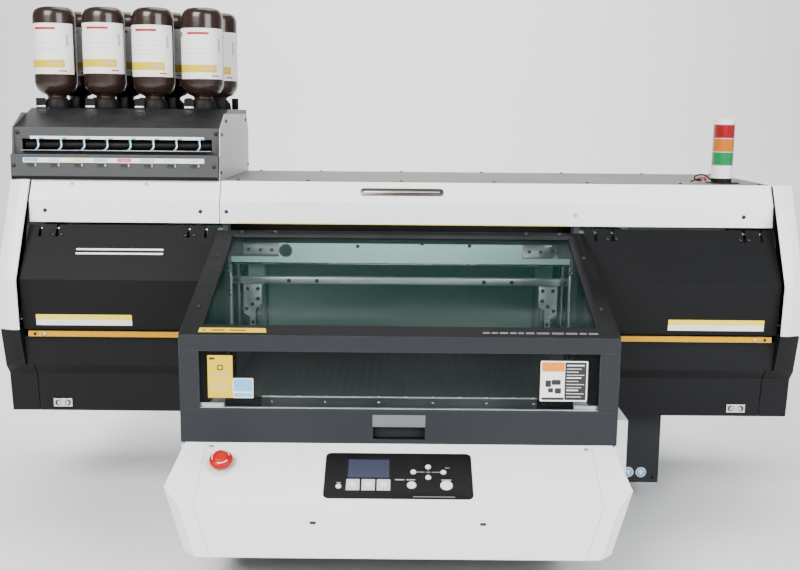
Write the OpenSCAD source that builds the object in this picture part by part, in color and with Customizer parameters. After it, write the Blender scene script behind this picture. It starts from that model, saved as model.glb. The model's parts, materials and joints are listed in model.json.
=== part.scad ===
// Flatbed UV printer: bridge body with two wings, lifting gantry, sliding table,
// hinged hood and side covers, operator box, ink station and signal tower.
// X runs left to right, Y front to back, Z up from the floor; the origin is under the middle.

/* [Body] */
// Overall width over the two end caps
body_w = 1665; // [1600:1:1720]
// Overall depth from the operator box to the rear housing
body_d = 1290; // [1270:1:1290]
// Height of the top deck above the floor
deck_z = 706; // [704:1:708]
// Y of the top front edge of the deck
deck_front = -65; // [-70:1:-62]
// Y of the rear wall of the bridge
bridge_back = 330; // [328:1:334]
// Half width of the centre bay between the two side covers
bay_half = 387; // [386:0.5:388]
// Thickness of the sheet covers
sheet_t = 3; // [2:0.5:3]
// Gap between neighbouring covers
seam = 1.5; // [1:0.5:2]
// Height of the levelling feet
foot_h = 45; // [40:1:45]

/* [Hood] */
// Y of the vertical front face of the hood
hood_front = -514; // [-516:1:-512]
// Height of the lower edge of the hood
hood_low = 274; // [273:1:276]
// Height of the edge between front face and sloped lid
hood_brow = 468; // [466:1:470]
// Half width of the clear windows
window_half = 351; // [340:1:354]
// Swing of the open hood, which sets the length of its gas stays
hood_swing = 62; // [60:1:64]

/* [Operator box] */
// Half width of the widest part of the box
op_half = 396; // [394:1:400]
// Slope of the key face in degrees
op_slope = 26.7; // [26:0.1:27]
// Width of the black key panel
panel_w = 252; // [246:1:256]
// Height of the key panel along the slope
panel_h = 104; // [100:1:106]
// Diameter of the stop button's mushroom head
stop_d = 40; // [36:1:42]

/* [Table] */
// Width of the table
table_w = 640; // [620:1:640]
// Depth of the table
table_d = 470; // [460:1:474]
// Height of the table's top face
table_z = 335; // [333:1:336]
// Y of the table's front edge in its loading place
table_front = -434; // [-436:1:-430]
// Distance between the suction grooves
groove_pitch = 16; // [12:1:20]

/* [Gantry] */
// Height of the beam's underside at the top of its travel
beam_low = 501; // [500:1:502]
// Y of the beam's front face
beam_front = 110; // [108:1:112]
// X of the parked carriage
park_x = 600; // [596:1:602]
// Height of the nozzle faces at the top of the travel
nozzle_z = 490; // [489:1:492]
// Radius of the belt pulleys
pulley_r = 12; // [10:1:13]

/* [Ink station] */
// Bottle pitch along X
bottle_pitch = 110.3; // [108:0.1:110.5]
// Radius of a bottle
bottle_r = 46.5; // [42:0.5:47]
// Height of the bottle shelf
shelf_z = 856; // [850:1:858]
// Height of the bottle tops
bottle_top = 1078; // [1060:1:1090]

/* [Signal tower] */
// Radius of the tower
tower_r = 23; // [20:0.5:25]
// X of the tower
tower_x = 700; // [690:1:720]

/* [Hidden] */
$fn = 48;
fit = 0.05;

half_w = body_w / 2;
front_y = -body_d / 2;
rear_y = body_d / 2;
cap_in = 789.5;
cover_in = bay_half + seam;
cover_out = cap_in - seam;

// Outlines of the front covers as [Y, Z] points, from the top down
fascia_line = [[deck_front, deck_z], [-89, 664], [-91, 617]];
cover_line = [[-91, 612], [-168, 506], [-155, 398], [-141, 398]];
fairing_top = [[-141, 383], [-153, 383], [-146, 320]];
fairing_low = [[-146, 320], [-128, 298], [-121, 213], [bridge_back - 4, 213]];
cap_face = [[-74, deck_z], [-182, 505], [-176, 400]];
cap_edge = [[deck_front, deck_z], [-169, 505], [-165, 400]];
skirt_face = [[-175, 399], [-152, 320]];
skirt_edge = [[-165, 399], [-146, 320]];
skirt_low = [[-148, 320], [-129, 298], [-121, 213]];
skirt_x = 774.5;

// Gas stays: foot pivot on the frame, head pivot on the closed hood, in [Y, Z]
stay_foot = [-95, 250];
stay_head = [-105, 523];
stay_x = 361;
stay_pin_r = 3;
stay_rod_r = 4;
stay_tube_len = 152;
stay_len = norm(stay_head - stay_foot);
stay_lean = atan2(stay_head[1] - stay_foot[1], stay_head[0] - stay_foot[0]);

spigot_at = [-250, 130];
spigot_r = 19;

header_y = [-80, -40];
header_z = [575, 597];
hood_lug_x = [262, 332];
cover_lug_x = [410, 446, 724, 760];
hood_axis = [-100, 594];
cover_axis = [-86, 603];
hood_pin_r = 4;
cover_pin_r = 2.5;
hood_slope = atan2(604 - hood_brow, -104 - hood_front);
hood_run = norm([604 - hood_brow, -104 - hood_front]);
hood_half = bay_half - seam;
handle_half = 46;

plate_x = [369, 380];
beam_h = 170;
beam_d = 80;
beam_half = 770;
rail_z = 600;
belt_z = 650;
belt_half = 745;
belt_t = 1.7;
screw_x = 347;
screw_y = 215;
post_x = 402;
post_y = 250;
lift_screw_r = 8;
post_r = 10;
table_screw_r = 10;
table_screw_z = 112;
rail_x = 200;

ink_x = [-829, -389];
ink_y = [-72, 345];
bottle_x = -780;
front_row_y = 100;
back_row_y = 214;
back_row_shift = 13;
neck_r = 17;

// Tapped holes for jigs at the table's corners
jig_x = 608;
jig_y = 430;
jig_hole_r = 2.5;

op_back_z = 274;
op_len = 146;
op_floor = 108;
panel_v = -77;
panel_t = 4;
panel_rise = 1.6;
key_travel = 1;
stop_x = -305;
stop_v = -56;

// ---- helpers ----

// Constant thickness band along a line of [Y, Z] points, on its left-hand side
function unit(v) = v / norm(v);
function left_of(v) = [-v[1], v[0]];
function side_of(p, i) = left_of(unit(p[i + 1] - p[i]));
function mitre(p, i, t) =
    let (a = side_of(p, max(i - 1, 0)), b = side_of(p, min(i, len(p) - 2)), m = unit(a + b))
    p[i] + m * (t / (m * a));
function band(p, t) = concat(p, [for (i = [len(p) - 1:-1:0]) mitre(p, i, t)]);

// Extrudes a [Y, Z] outline from x0 to x1
module along_x(x0, x1) {
    translate([x0, 0, 0])
        rotate([90, 0, 90])
            linear_extrude(x1 - x0)
                children();
}

// Box given by its lowest and highest corners
module box(low, high) {
    translate(low) cube(high - low);
}

// Copies a shape to both sides of the middle
module both_sides() {
    children();
    mirror([1, 0, 0]) children();
}

// Lying cylinder along X
module rod_x(x0, x1, at, r) {
    translate([x0, at[0], at[1]]) rotate([0, 90, 0]) cylinder(r = r, h = x1 - x0);
}

// Lying cylinder along Y
module rod_y(y0, y1, at, r) {
    translate([at[0], y0, at[1]]) rotate([-90, 0, 0]) cylinder(r = r, h = y1 - y0);
}

// Places children on the operator box's sloped face: -Y runs down the slope, Z stands off it
module on_key_face() {
    translate([0, hood_front, op_back_z]) rotate([op_slope, 0, 0]) children();
}

// Places children on the hood's lid: -Y runs down the slope from the rear edge
module on_lid() {
    translate([0, -104, 604]) rotate([hood_slope, 0, 0]) children();
}

// ---- base ----

module base_frame() {
    tube = 40;
    hollow = tube / 2 - 3;
    long_x = 325;
    plate_w = plate_x[1];
    color("dimgray") difference() {
        union() {
            both_sides() {
                box([long_x - tube / 2, -480, foot_h], [long_x + tube / 2, 600, foot_h + tube]);
                box([rail_x - tube / 2, -480, foot_h + tube - 1], [rail_x + tube / 2, 580, 125]);
                box([plate_x[0], header_y[0], foot_h + 2], [plate_w, 300, deck_z - 6]);
                for (z = [226, 680])
                    box([screw_x - 20, 196, z], [plate_x[0] + 1, 250, z + 10]);
                for (z = [218, 690])
                    box([plate_w - 1, 236, z], [420, 264, z + 8]);
                box([262, -76, 545], [plate_x[0] + 1, -72, header_z[0] + 1]);
                box([plate_x[0], -104, 240], [plate_w, header_y[0] + 1, 260]);
                rod_x(355, plate_x[0] + 1, stay_foot, stay_pin_r);
            }
            for (y = [-460, 549])
                box([-long_x, y - tube / 2, foot_h], [long_x, y + tube / 2, foot_h + tube]);
            for (y = [-60, 280])
                box([-plate_w, y - tube / 2, foot_h], [plate_w, y + tube / 2, foot_h + tube]);
            box([-780, header_y[0], header_z[0]], [780, header_y[1], header_z[1]]);
            box([-plate_w + 1, -76, 486], [plate_w - 1, -62, 501]);
            for (y = [-480, 540])
                box([-30, y, foot_h + tube - 1], [30, y + 18, table_screw_z + 24]);
            hinge_lugs();
        }
        both_sides() {
            box([long_x - hollow, -481, foot_h + 3], [long_x + hollow, 601, foot_h + tube - 3]);
            box([rail_x - hollow, -481, foot_h + tube + 2], [rail_x + hollow, 581, 122]);
            box([plate_x[0] - 1, -42, 330], [plate_w + 1, 235, 692]);
            box([plate_x[0] - 1, -90, 640], [plate_w + 1, -56, deck_z]);
            translate([screw_x, screw_y, 100]) cylinder(r = 4 + fit, h = deck_z);
        }
        for (y = [-460, -60, 280, 549])
            box([-long_x, y - hollow, foot_h + 3], [long_x, y + hollow, foot_h + tube - 3]);
        rod_y(-500, 570, [0, table_screw_z], 6 + fit);
        both_sides() rod_x(250, 350, hood_axis, hood_pin_r);
        both_sides() rod_x(400, 780, cover_axis, cover_pin_r);
    }
}

// Ears on the header that carry the hinge pins of the hood and the two side covers
module hinge_lugs() {
    both_sides() {
        for (x = hood_lug_x)
            box([x, -106, hood_axis[1] - 8], [x + 6, header_y[0] + 1, hood_axis[1] + 7]);
        for (x = cover_lug_x) {
            box([x, -88, header_z[1] - 2], [x + 5, -79, cover_axis[1] + 4]);
            box([x, -88, header_z[0] + 4], [x + 5, header_y[0] + 1, header_z[1]]);
        }
    }
}

module base_shell() {
    half = bay_half - 2;
    foot_half = 352;
    flare = [[half, 270], [half, 225], [foot_half, 190], [foot_half, 56]];
    color("gainsboro") {
        both_sides() {
            translate([0, -122, 0]) rotate([90, 0, 0]) linear_extrude(390)
                polygon([for (p = band(flare, -2.5)) p]);
            box([half - 2.5, -122, 56], [half, 326, 211]);
            box([foot_half - 2, -124.5, 56], [half, -122, 211]);
            box([foot_half, -512, 264], [half - 1, -176, 267]);
        }
        translate([0, -509.5, 0]) rotate([90, 0, 0]) linear_extrude(2.5)
            polygon(concat(flare, [for (i = [3:-1:0]) [-flare[i][0], flare[i][1]]]));
    }
}

module levelling_feet() {
    color("darkgray") both_sides() for (y = [-350, 549]) translate([325, y, 0]) {
        cylinder(r = 30, h = 10);
        cylinder(r = 14, h = 20);
        cylinder(r = 8, h = foot_h);
        translate([0, 0, foot_h - 12]) cylinder(r = 15, h = 8, $fn = 6);
    }
}

module table_rails() {
    color("silver") both_sides()
        box([rail_x - 10, -470, 125], [rail_x + 10, 560, 142]);
}

module lift_posts() {
    color("silver") both_sides()
        translate([post_x, post_y, 226]) cylinder(r = post_r, h = 464);
}

module drive_motors() {
    color("dimgray") {
        both_sides() {
            box([screw_x - 20.5, screw_y - 21, 150], [screw_x + 20.5, screw_y + 20, 214]);
            translate([screw_x, screw_y, 213]) cylinder(r = 11, h = 13);
        }
        box([-42, 572, 70], [42, 619, 154]);
        rod_y(558, 573, [0, table_screw_z], 20);
    }
}

// ---- covers ----

module deck_cover() {
    color("rosybrown") difference() {
        box([-cover_out, deck_front + 4, deck_z - 4], [cover_out, bridge_back, deck_z]);
        translate([tower_x, -4, 0]) cylinder(r = 8, h = deck_z + 10);
    }
}

module front_fascias() {
    split = -bay_half + 2;
    color("white") {
        along_x(split + seam, cover_out) polygon(band(fascia_line, sheet_t));
        along_x(-cover_out, split) polygon(band(fascia_line, sheet_t));
    }
}

// Closed [Y, Z] outline of an end cap: its front line, then the straight back
function cap_outline(line, low, grow = 0) = concat(
    [for (p = line) [p[0] + grow, min(p[1], deck_z - grow)]],
    [[bridge_back - grow, low], [bridge_back - grow, deck_z - grow]]);

module cap_block(face, edge, low, grow, x_in) {
    hull() {
        along_x(x_in, 808 - grow) polygon(cap_outline(face, low, grow));
        along_x(half_w - 1 - grow, half_w - grow) polygon(cap_outline(edge, low, grow));
    }
}

module end_caps() {
    color("white") both_sides() difference() {
        cap_block(cap_face, cap_edge, 400, 0, cap_in);
        cap_block(cap_face, cap_edge, 399, 4, cap_in - 5);
    }
}

// Closed outline of the straight lower part of a skirt
function skirt_outline(grow) = concat(
    [for (p = skirt_low) [p[0] + grow, max(p[1], 213 + grow)]],
    [[bridge_back - grow, 213 + grow], [bridge_back - grow, 320]]);

module lower_covers() {
    color("#2c2d2f") {
        both_sides() {
            difference() {
                hull() {
                    along_x(cap_in, 808)
                        polygon(concat(skirt_face, [[bridge_back, 320], [bridge_back, 399]]));
                    along_x(half_w - 1, half_w)
                        polygon(concat(skirt_edge, [[bridge_back, 320], [bridge_back, 399]]));
                }
                box([cap_in - 1, -142, 315], [half_w - 5, bridge_back - 4, 404]);
            }
            difference() {
                along_x(skirt_x, half_w) polygon(skirt_outline(0));
                along_x(skirt_x - 1, half_w - 4) polygon(skirt_outline(4));
            }
            along_x(cover_in, cover_out) polygon(band(fairing_top, sheet_t));
            along_x(cover_in, skirt_x - seam) polygon(band(fairing_low, sheet_t));
        }
    }
}

module yellow_strips() {
    color("gold") both_sides() {
        along_x(cover_in + 2, cover_out - 12)
            polygon([[-163, 384.5], [-163, 395.5], [-157, 395.5], [-157, 384.5]]);
        for (x = [420, 590, 750])
            box([x, -157.5, 383], [x + 16, -146, 394]);
    }
}

module rear_covers() {
    back = bridge_back;
    wall = rear_y - 20;
    housing = [[back + 2, 60], [back + 2, 512], [wall - 33, 512], [wall, 478], [wall, 60]];
    inside = [[back, 50], [back, 509], [wall - 34, 509], [wall - 3, 476.5], [wall - 3, 50]];
    color("gainsboro") {
        both_sides() difference() {
            box([cover_in, back - 3, 217], [cover_out, back, deck_z - 5]);
            for (i = [0:9]) box([480, back - 5, 300 + 16 * i], [700, back + 2, 306 + 16 * i]);
            box([skirt_x - seam, back - 4, 200], [cover_out + 1, back + 1, 321.5]);
        }
        box([-bay_half, back - 3, 514], [bay_half, back, deck_z - 5]);
        difference() {
            along_x(-bay_half + 2, bay_half - 2) polygon(housing);
            along_x(-bay_half + 5, bay_half - 5) polygon(inside);
            rod_y(wall - 10, wall + 5, spigot_at, spigot_r);
            box([200, wall - 10, 110], [228, wall + 5, 158]);
            for (i = [0:7]) box([-120, wall - 10, 200 + 14 * i], [120, wall + 5, 206 + 14 * i]);
        }
    }
    color("dimgray") {
        difference() {
            union() {
                rod_y(wall - 20, rear_y, spigot_at, spigot_r);
                rod_y(wall, wall + 4, spigot_at, spigot_r + 7);
            }
            rod_y(wall - 21, rear_y + 1, spigot_at, spigot_r - 3);
        }
        difference() {
            box([200, wall - 26, 110], [228, wall + 2, 158]);
            box([203, wall - 18, 113], [225, wall + 3, 155]);
        }
    }
}

module electrical_box() {
    color("dimgray") difference() {
        box([bay_half, -69, 42], [579, 322, 210]);
        box([bay_half + 3, -66, 45], [576, 319, 207]);
        for (i = [0:7]) box([570, 40, 80 + 12 * i], [582, 240, 85 + 12 * i]);
    }
}

// ---- operator box ----

// Key face above and narrower floor below, pulled in by grow
module op_solid(grow) {
    hull() {
        on_key_face() translate([0, 0, -1 - grow]) linear_extrude(1) polygon([
            [-op_half + 18 + grow, 0], [-op_half + grow, -106],
            [-365 + grow, -op_len + grow], [365 - grow, -op_len + grow],
            [op_half - grow, -106], [op_half - 18 - grow, 0]]);
        translate([0, 0, op_floor + grow]) linear_extrude(1) polygon([
            [-362 + grow, hood_front], [-366 + grow, -600], [-343 + grow, -624 + grow],
            [343 - grow, -624 + grow], [366 - grow, -600], [362 - grow, hood_front]]);
    }
}

module operator_box() {
    color("white") {
        difference() {
            op_solid(0);
            translate([0, 4, 0]) op_solid(4);
            on_key_face() translate([0, panel_v, 0])
                cube([panel_w - 6, panel_h - 6, 40], center = true);
            on_key_face() translate([stop_x, stop_v, -20]) cylinder(r = 11 + fit, h = 40);
            for (x = [-142, 142]) box([x - 4.5, -650, 175], [x + 4.5, -590, 178]);
        }
        on_key_face() translate([stop_x, stop_v, 0]) difference() {
            cylinder(r = 31, h = 3);
            translate([0, 0, -1]) cylinder(r = 11 + fit, h = 10);
        }
    }
    color("ghostwhite") difference() {
        box([bay_half + 1, -369, 130], [437, -180, 277]);
        box([bay_half + 4, -366, 120], [434, -183, 274]);
    }
}

// Key places on the panel: [x, distance down the slope, half width, half height]
soft_w = 11.5;
soft_h = 12.5;
soft_keys = [[-77, -99], [-51, -99], [-25, -99]];
function_at = [-101, -103];
arrow_up = [51, -57];
arrow_down = [51, -81.5];
arrow_left = [25.5, -69];
arrow_right = [77, -69];
test_at = [22.5, -99];
enter_at = [81.5, -99];
arrow_r = 5;
test_r = 8;
enter_r = 10.5;
key_gap = 0.4;

module control_panel() {
    color("#1d1e20") on_key_face() difference() {
        translate([-panel_w / 2, panel_v - panel_h / 2, panel_rise - panel_t + 2.4])
            cube([panel_w, panel_h, panel_t - 2.4]);
        translate([-87, -83, -5]) cube([72, 44, 20]);
        for (k = soft_keys)
            translate([k[0] - soft_w - key_gap, k[1] - soft_h - key_gap, -5])
                cube([2 * (soft_w + key_gap), 2 * (soft_h + key_gap), 20]);
        for (k = [arrow_up, arrow_down, arrow_left, arrow_right, function_at])
            translate([k[0], k[1], -5]) cylinder(r = arrow_r + key_gap, h = 20);
        translate([test_at[0], test_at[1], -5]) cylinder(r = test_r + key_gap, h = 20);
        translate([enter_at[0], enter_at[1], -5]) cylinder(r = enter_r + key_gap, h = 20);
    }
    color("darkgreen") on_key_face()
        translate([-panel_w / 2 + 6, panel_v - panel_h / 2 + 6, -8])
            cube([panel_w - 12, panel_h - 12, 2]);
    color("#1d1e20") on_key_face() for (x = [-119, 119]) for (v = [-30, -124])
        translate([x, v, -6]) cylinder(r = 2, h = 6.1);
}

module lcd_window() {
    color("darkolivegreen") on_key_face()
        translate([-86.7, -82.7, -4]) cube([71.4, 43.4, 5]);
}

module round_key(at, r) {
    color("gainsboro") on_key_face() translate([at[0], at[1], -4]) cylinder(r = r, h = 6.8);
}

module soft_key(i) {
    color("gainsboro") on_key_face()
        translate([soft_keys[i][0] - soft_w, soft_keys[i][1] - soft_h, -4])
            cube([2 * soft_w, 2 * soft_h, 6.6]);
}

module stop_button() {
    color("red") on_key_face() translate([stop_x, stop_v, 0]) rotate_extrude()
        polygon([[0, -18], [11, -18], [11, 9], [stop_d / 2 - 2, 10], [stop_d / 2, 13],
            [stop_d / 2, 17], [stop_d / 2 - 3, 21], [stop_d / 2 - 8, 24], [6, 26], [0, 26]]);
}

// ---- signal tower ----

module tower_slice(z0, z1, r) {
    translate([tower_x, -4, z0]) cylinder(r = r, h = z1 - z0);
}

module tower_base() {
    color("whitesmoke") {
        tower_slice(deck_z, deck_z + 11, tower_r - 1.5);
        tower_slice(deck_z + 11, deck_z + 39, tower_r);
        tower_slice(deck_z + 127, deck_z + 138, tower_r);
    }
}

module red_lens() {
    color("red") tower_slice(deck_z + 97, deck_z + 127, tower_r - 0.5);
}

module amber_lens() {
    color("orange") tower_slice(deck_z + 68, deck_z + 97, tower_r - 0.5);
}

module green_lens() {
    color("green") tower_slice(deck_z + 39, deck_z + 68, tower_r - 0.5);
}

// ---- ink station ----

tray_top = 759;
slot_z = [767, 791];
tube_x = -800;
tube_pitch = 51.6;
shelf_line = [[-44, tray_top], [-44, 815], [69, shelf_z], [ink_y[1] - 3, shelf_z]];

module at_bottles(row_y, shift) {
    for (i = [0:3]) translate([bottle_x + i * bottle_pitch + shift, row_y, 0]) children();
}

module ink_tray() {
    color("dimgray") difference() {
        box([ink_x[0], ink_y[0], deck_z], [ink_x[1], ink_y[1], tray_top]);
        box([ink_x[0] + 3, ink_y[0] + 3, deck_z + 3], [ink_x[1] - 3, ink_y[1] - 3, tray_top + 1]);
    }
}

module ink_housing() {
    color("dimgray") difference() {
        along_x(ink_x[0], ink_x[1])
            polygon(concat(shelf_line, [[ink_y[1] - 3, tray_top]]));
        along_x(ink_x[0] + 3, ink_x[1] - 3)
            polygon([[-41, tray_top - 1], [-41, 813], [70, shelf_z - 3],
                [ink_y[1] - 6, shelf_z - 3], [ink_y[1] - 6, tray_top - 1]]);
        box([-812, -50, slot_z[0]], [-406, -30, slot_z[1]]);
        at_bottles(front_row_y, 0) cylinder(r = neck_r + 0.5, h = 900);
        at_bottles(back_row_y, back_row_shift) cylinder(r = neck_r + 0.5, h = 900);
    }
}

module bottle_clip() {
    box([-38, -32, shelf_z], [-16, -30, shelf_z + 22]);
    box([-38, -32, shelf_z], [-28, -20, shelf_z + 2]);
}

module ink_metalwork() {
    plate = [[-68, deck_z], [-50, 815], [10, 846], [325, 846], [350, 802], [346, deck_z]];
    color("silver") {
        along_x(ink_x[1] + 0.5, ink_x[1] + 3) polygon(plate);
        along_x(ink_x[0] - 3, ink_x[0] - 0.5) polygon(plate);
        at_bottles(front_row_y, 0) bottle_clip();
        at_bottles(back_row_y, back_row_shift) bottle_clip();
    }
}

// Hooked tubes behind the slot, one for each ink, rising from a manifold bar
module ink_tubes() {
    color("steelblue") {
        for (i = [0:7]) translate([tube_x + i * tube_pitch, -36, 750]) {
            cylinder(r = 2.5, h = 29);
            translate([9, 0, 29]) rotate([90, 0, 0]) rotate_extrude(angle = 180)
                translate([9, 0]) circle(r = 2.5);
            translate([18, 0, 0]) cylinder(r = 2.5, h = 29);
        }
        box([-812, -42, 742], [-410, -30, 751]);
    }
}

bottle_profile = [
    [0, 846], [neck_r, 846], [neck_r, shelf_z + 0.4], [24, shelf_z + 0.4], [24, 880], [30, 887],
    [bottle_r - 6, 892], [bottle_r - 1, 899], [bottle_r, 906], [bottle_r, bottle_top - 12],
    [bottle_r - 2, bottle_top - 5], [bottle_r - 7, bottle_top], [0, bottle_top]];

module front_bottles() {
    color("saddlebrown") at_bottles(front_row_y, 0) rotate_extrude() polygon(bottle_profile);
}

module back_bottles() {
    color("saddlebrown") at_bottles(back_row_y, back_row_shift)
        rotate_extrude() polygon(bottle_profile);
}

// ---- pins and screws ----

module pins_and_screws() {
    color("silver") both_sides() {
        rod_x(261.5, 338.5, hood_axis, hood_pin_r);
        rod_x(406, 455, cover_axis, cover_pin_r);
        rod_x(720, 769, cover_axis, cover_pin_r);
        box([703, -125.5, 222], [743, -123.5, 240]);
        for (x = [713, 731]) rod_y(-127.5, -125, [x, 231], 4);
    }
}

// ---- hood ----

module hood_frame() {
    side = [[hood_front, hood_low], [hood_front, hood_brow], [-104, 604], [-106, 588],
        [-170, 560], [-176, hood_low]];
    color("#4a4d50") difference() {
        union() {
            both_sides() along_x(hood_half - 5, hood_half) polygon(side);
            on_lid() box([-hood_half, -hood_run, -8], [hood_half, 0, 0]);
            box([-hood_half, hood_front, hood_low], [hood_half, hood_front + 8, hood_brow]);
            box([-handle_half - 4, hood_front + 7, 278], [handle_half + 4, hood_front + 28, 330]);
            both_sides() {
                rod_x(269, 331, hood_axis, 8);
                box([269, -109, 590], [331, -104, 600]);
                along_x(plate_x[0] + 3, hood_half - 4.9) polygon([[-108, 598], [-190, 570],
                    [-190, 545], [-116, 513], [-97, 513], [-97, 530], [-107, 570]]);
                rod_x(stay_x + 5, plate_x[0] + 4, stay_head, 4);
            }
        }
        on_lid() box([-window_half, -396, -20], [window_half, -20, 10]);
        box([-window_half, hood_front - 5, 336], [window_half, hood_front + 12, 439]);
        box([-handle_half, hood_front - 1, 282], [handle_half, hood_front + 24, 326]);
        both_sides() {
            rod_x(268, 332, hood_axis, hood_pin_r + fit);
            for (x = hood_lug_x)
                box([x - 0.9, -117, hood_axis[1] - 16], [x + 6.9, -80, hood_axis[1] + 16]);
        }
    }
}

module hood_glass() {
    color("darkcyan", 0.4) on_lid()
        box([-window_half - 7, -402, -12], [window_half + 7, -14, -8]);
}

module hood_window() {
    color("gray", 0.4)
        box([-window_half - 7, hood_front + 8, 331], [window_half + 7, hood_front + 12, 445]);
}

// Places children on the gas stays: +Y runs from the foot pivot towards the head
module on_stays() {
    both_sides() translate([stay_x, stay_foot[0], stay_foot[1]]) rotate([stay_lean, 0, 0])
        children();
}

module stay_tubes() {
    color("#202124") on_stays() difference() {
        union() {
            rod_y(4, stay_tube_len, [0, 0], 7.5);
            rod_x(-5, 5, [0, 0], 10);
        }
        rod_x(-9, 9, [0, 0], stay_pin_r + fit);
        rod_y(40, stay_tube_len + 1, [0, 0], stay_rod_r + fit);
    }
}

module stay_rods() {
    color("silver") on_stays() {
        rod_y(43, stay_len - 4, [0, 0], stay_rod_r);
        rod_x(-3, 3, [stay_len, 0], 9);
    }
}

// ---- side covers ----

// Right-hand cover; its hinge knuckles sit between the ears of the header
module side_cover() {
    color("#2c2d2f") difference() {
        union() {
            along_x(cover_in, cover_out) polygon(band(cover_line, sheet_t));
            for (x = [416, 730]) {
                rod_x(x, x + 29, cover_axis, 5);
                box([x, -96, 600], [x + 29, -86, 606]);
            }
        }
        for (x = cover_lug_x)
            box([x - 0.9, -120, 588], [x + 5.9, -70, 620]);
        rod_x(400, 800, cover_axis, cover_pin_r + fit);
    }
}

module right_cover() {
    side_cover();
}

module left_cover() {
    mirror([1, 0, 0]) side_cover();
}

// ---- gantry ----

module gantry_beam() {
    top = beam_low + beam_h;
    back = beam_front + beam_d;
    color("silver") difference() {
        union() {
            difference() {
                box([-beam_half, beam_front, beam_low], [beam_half, back, top]);
                box([-beam_half - 1, beam_front + 6, beam_low + 8],
                    [beam_half + 1, back - 6, top - 8]);
            }
            both_sides() {
                box([330, back - 1, 440], [367, 232, 560]);
                box([384, back - 1, 560], [420, 268, 600]);
                rod_y(96, beam_front + 1, [belt_half, belt_z], 4);
            }
            for (x = [park_x - 90, park_x + 60]) {
                box([x, 60, 470], [x + 30, beam_front + 30, 498]);
                box([x, beam_front, 470], [x + 30, back, beam_low + 1]);
            }
            box([belt_half - 30, back - 1, 615], [belt_half + 25, back + 55, top]);
        }
        rod_y(beam_front - 5, beam_front + 7, [-268, 533], 15.5);
        both_sides() {
            translate([screw_x, screw_y, 400]) cylinder(r = lift_screw_r + fit, h = 200);
            translate([post_x, post_y, 500]) cylinder(r = post_r + fit, h = 150);
        }
    }
}

module carriage_rail() {
    color("gainsboro")
        box([-760, beam_front - 12, rail_z - 8], [760, beam_front, rail_z + 8]);
}

// Belt loop outline of radius r around both pulleys
module belt_loop(r) {
    square([2 * belt_half, 2 * r], center = true);
    for (x = [-belt_half, belt_half]) translate([x, 0]) circle(r = r);
}

module drive_belt() {
    inner = pulley_r + 0.1;
    color("#202124") translate([0, 98, belt_z]) rotate([-90, 0, 0]) linear_extrude(10)
        difference() {
            belt_loop(inner + belt_t);
            belt_loop(inner);
        }
}

module pulley(x) {
    color("silver") difference() {
        rod_y(98.2, 107.8, [x, belt_z], pulley_r);
        rod_y(95, 111, [x, belt_z], 4 + fit);
        for (a = [0:72:359]) translate([x, 0, belt_z]) rotate([0, a, 0])
            rod_y(95, 111, [8, 0], 1.5);
    }
}

module drive_pulley() {
    pulley(belt_half);
}

module idle_pulley() {
    pulley(-belt_half);
}

module capping_base() {
    color("dimgray") difference() {
        box([park_x - 105, -32, 440], [park_x + 105, 92, 470]);
        box([park_x - 102, -29, 446], [park_x + 102, 57, 471]);
    }
}

head_x = [-62, 0, 62];
head_y = [-14, 30];
head_size = [50, 30];

module cap_pads() {
    color("#2b2b2d") {
        box([park_x - 98, -26, 460], [park_x + 98, 54, 470]);
        for (x = head_x) for (y = head_y)
            box([park_x + x - 22, y - 8, 469], [park_x + x + 22, y + 18, nozzle_z - 0.4]);
    }
}

module carriage_body() {
    color("gainsboro") difference() {
        union() {
            difference() {
                box([park_x - 105, -36, 500], [park_x + 105, 95, 685]);
                box([park_x - 102, -33, 504], [park_x + 102, 92, 682]);
            }
            for (x = [-85, 35]) for (z = [580, rail_z + 8.3])
                box([park_x + x, 94, z], [park_x + x + 50, beam_front - 0.4, z + 11.7]);
            box([park_x - 10, 94, 628], [park_x + 10, 97.6, 646]);
        }
        for (x = head_x) for (y = head_y)
            translate([park_x + x, y + 5, 502])
                cube([head_size[0] + 0.6, head_size[1] + 0.6, 10], center = true);
        for (x = [-70, -30, 10, 50]) box([park_x + x, 10, 680], [park_x + x + 20, 60, 690]);
    }
}

module print_heads() {
    color("#b9bcc0") for (x = head_x) for (y = head_y) {
        translate([park_x + x, y + 5, nozzle_z + 20])
            cube([head_size[0], head_size[1], 40], center = true);
        translate([park_x + x, y + 5, nozzle_z + 50]) cube([36, 18, 24], center = true);
    }
}

module uv_lamps() {
    color("#3a3d42") for (x = [park_x - 135, park_x + 105.3])
        difference() {
            box([x, -30, 492], [x + 29.7, 60, 600]);
            for (i = [0:4]) box([x - 1, -20 + 15 * i, 585], [x + 31, -12 + 15 * i, 601]);
        }
}

module lift_screw(x) {
    color("silver") translate([x, screw_y, 0]) {
        translate([0, 0, 237]) cylinder(r = lift_screw_r, h = 442);
        translate([0, 0, 226]) cylinder(r = 4, h = 464);
    }
}

module left_lift_screw() {
    lift_screw(-screw_x);
}

module right_lift_screw() {
    lift_screw(screw_x);
}

// ---- table ----

module table_saddle() {
    color("silver") difference() {
        union() {
            both_sides() for (y = [table_front + 44, table_front + 364]) {
                box([rail_x - 22, y, 142.4], [rail_x + 22, y + 60, 161]);
                box([rail_x - 22, y, 128], [rail_x - 10.3, y + 60, 143]);
                box([rail_x + 10.3, y, 128], [rail_x + 22, y + 60, 143]);
            }
            box([-240, table_front + 34, 160], [240, table_front + 434, 170]);
            for (x = [-180, 140]) for (y = [table_front + 54, table_front + 374])
                box([x, y, 169], [x + 40, y + 40, table_z - 45]);
            box([-28, table_front + 204, 97], [28, table_front + 264, 161]);
            box([-252, table_front - 8, 316], [252, table_front, table_z + 3]);
        }
        rod_y(table_front, table_front + 400, [0, table_screw_z], table_screw_r + fit);
    }
}

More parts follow.
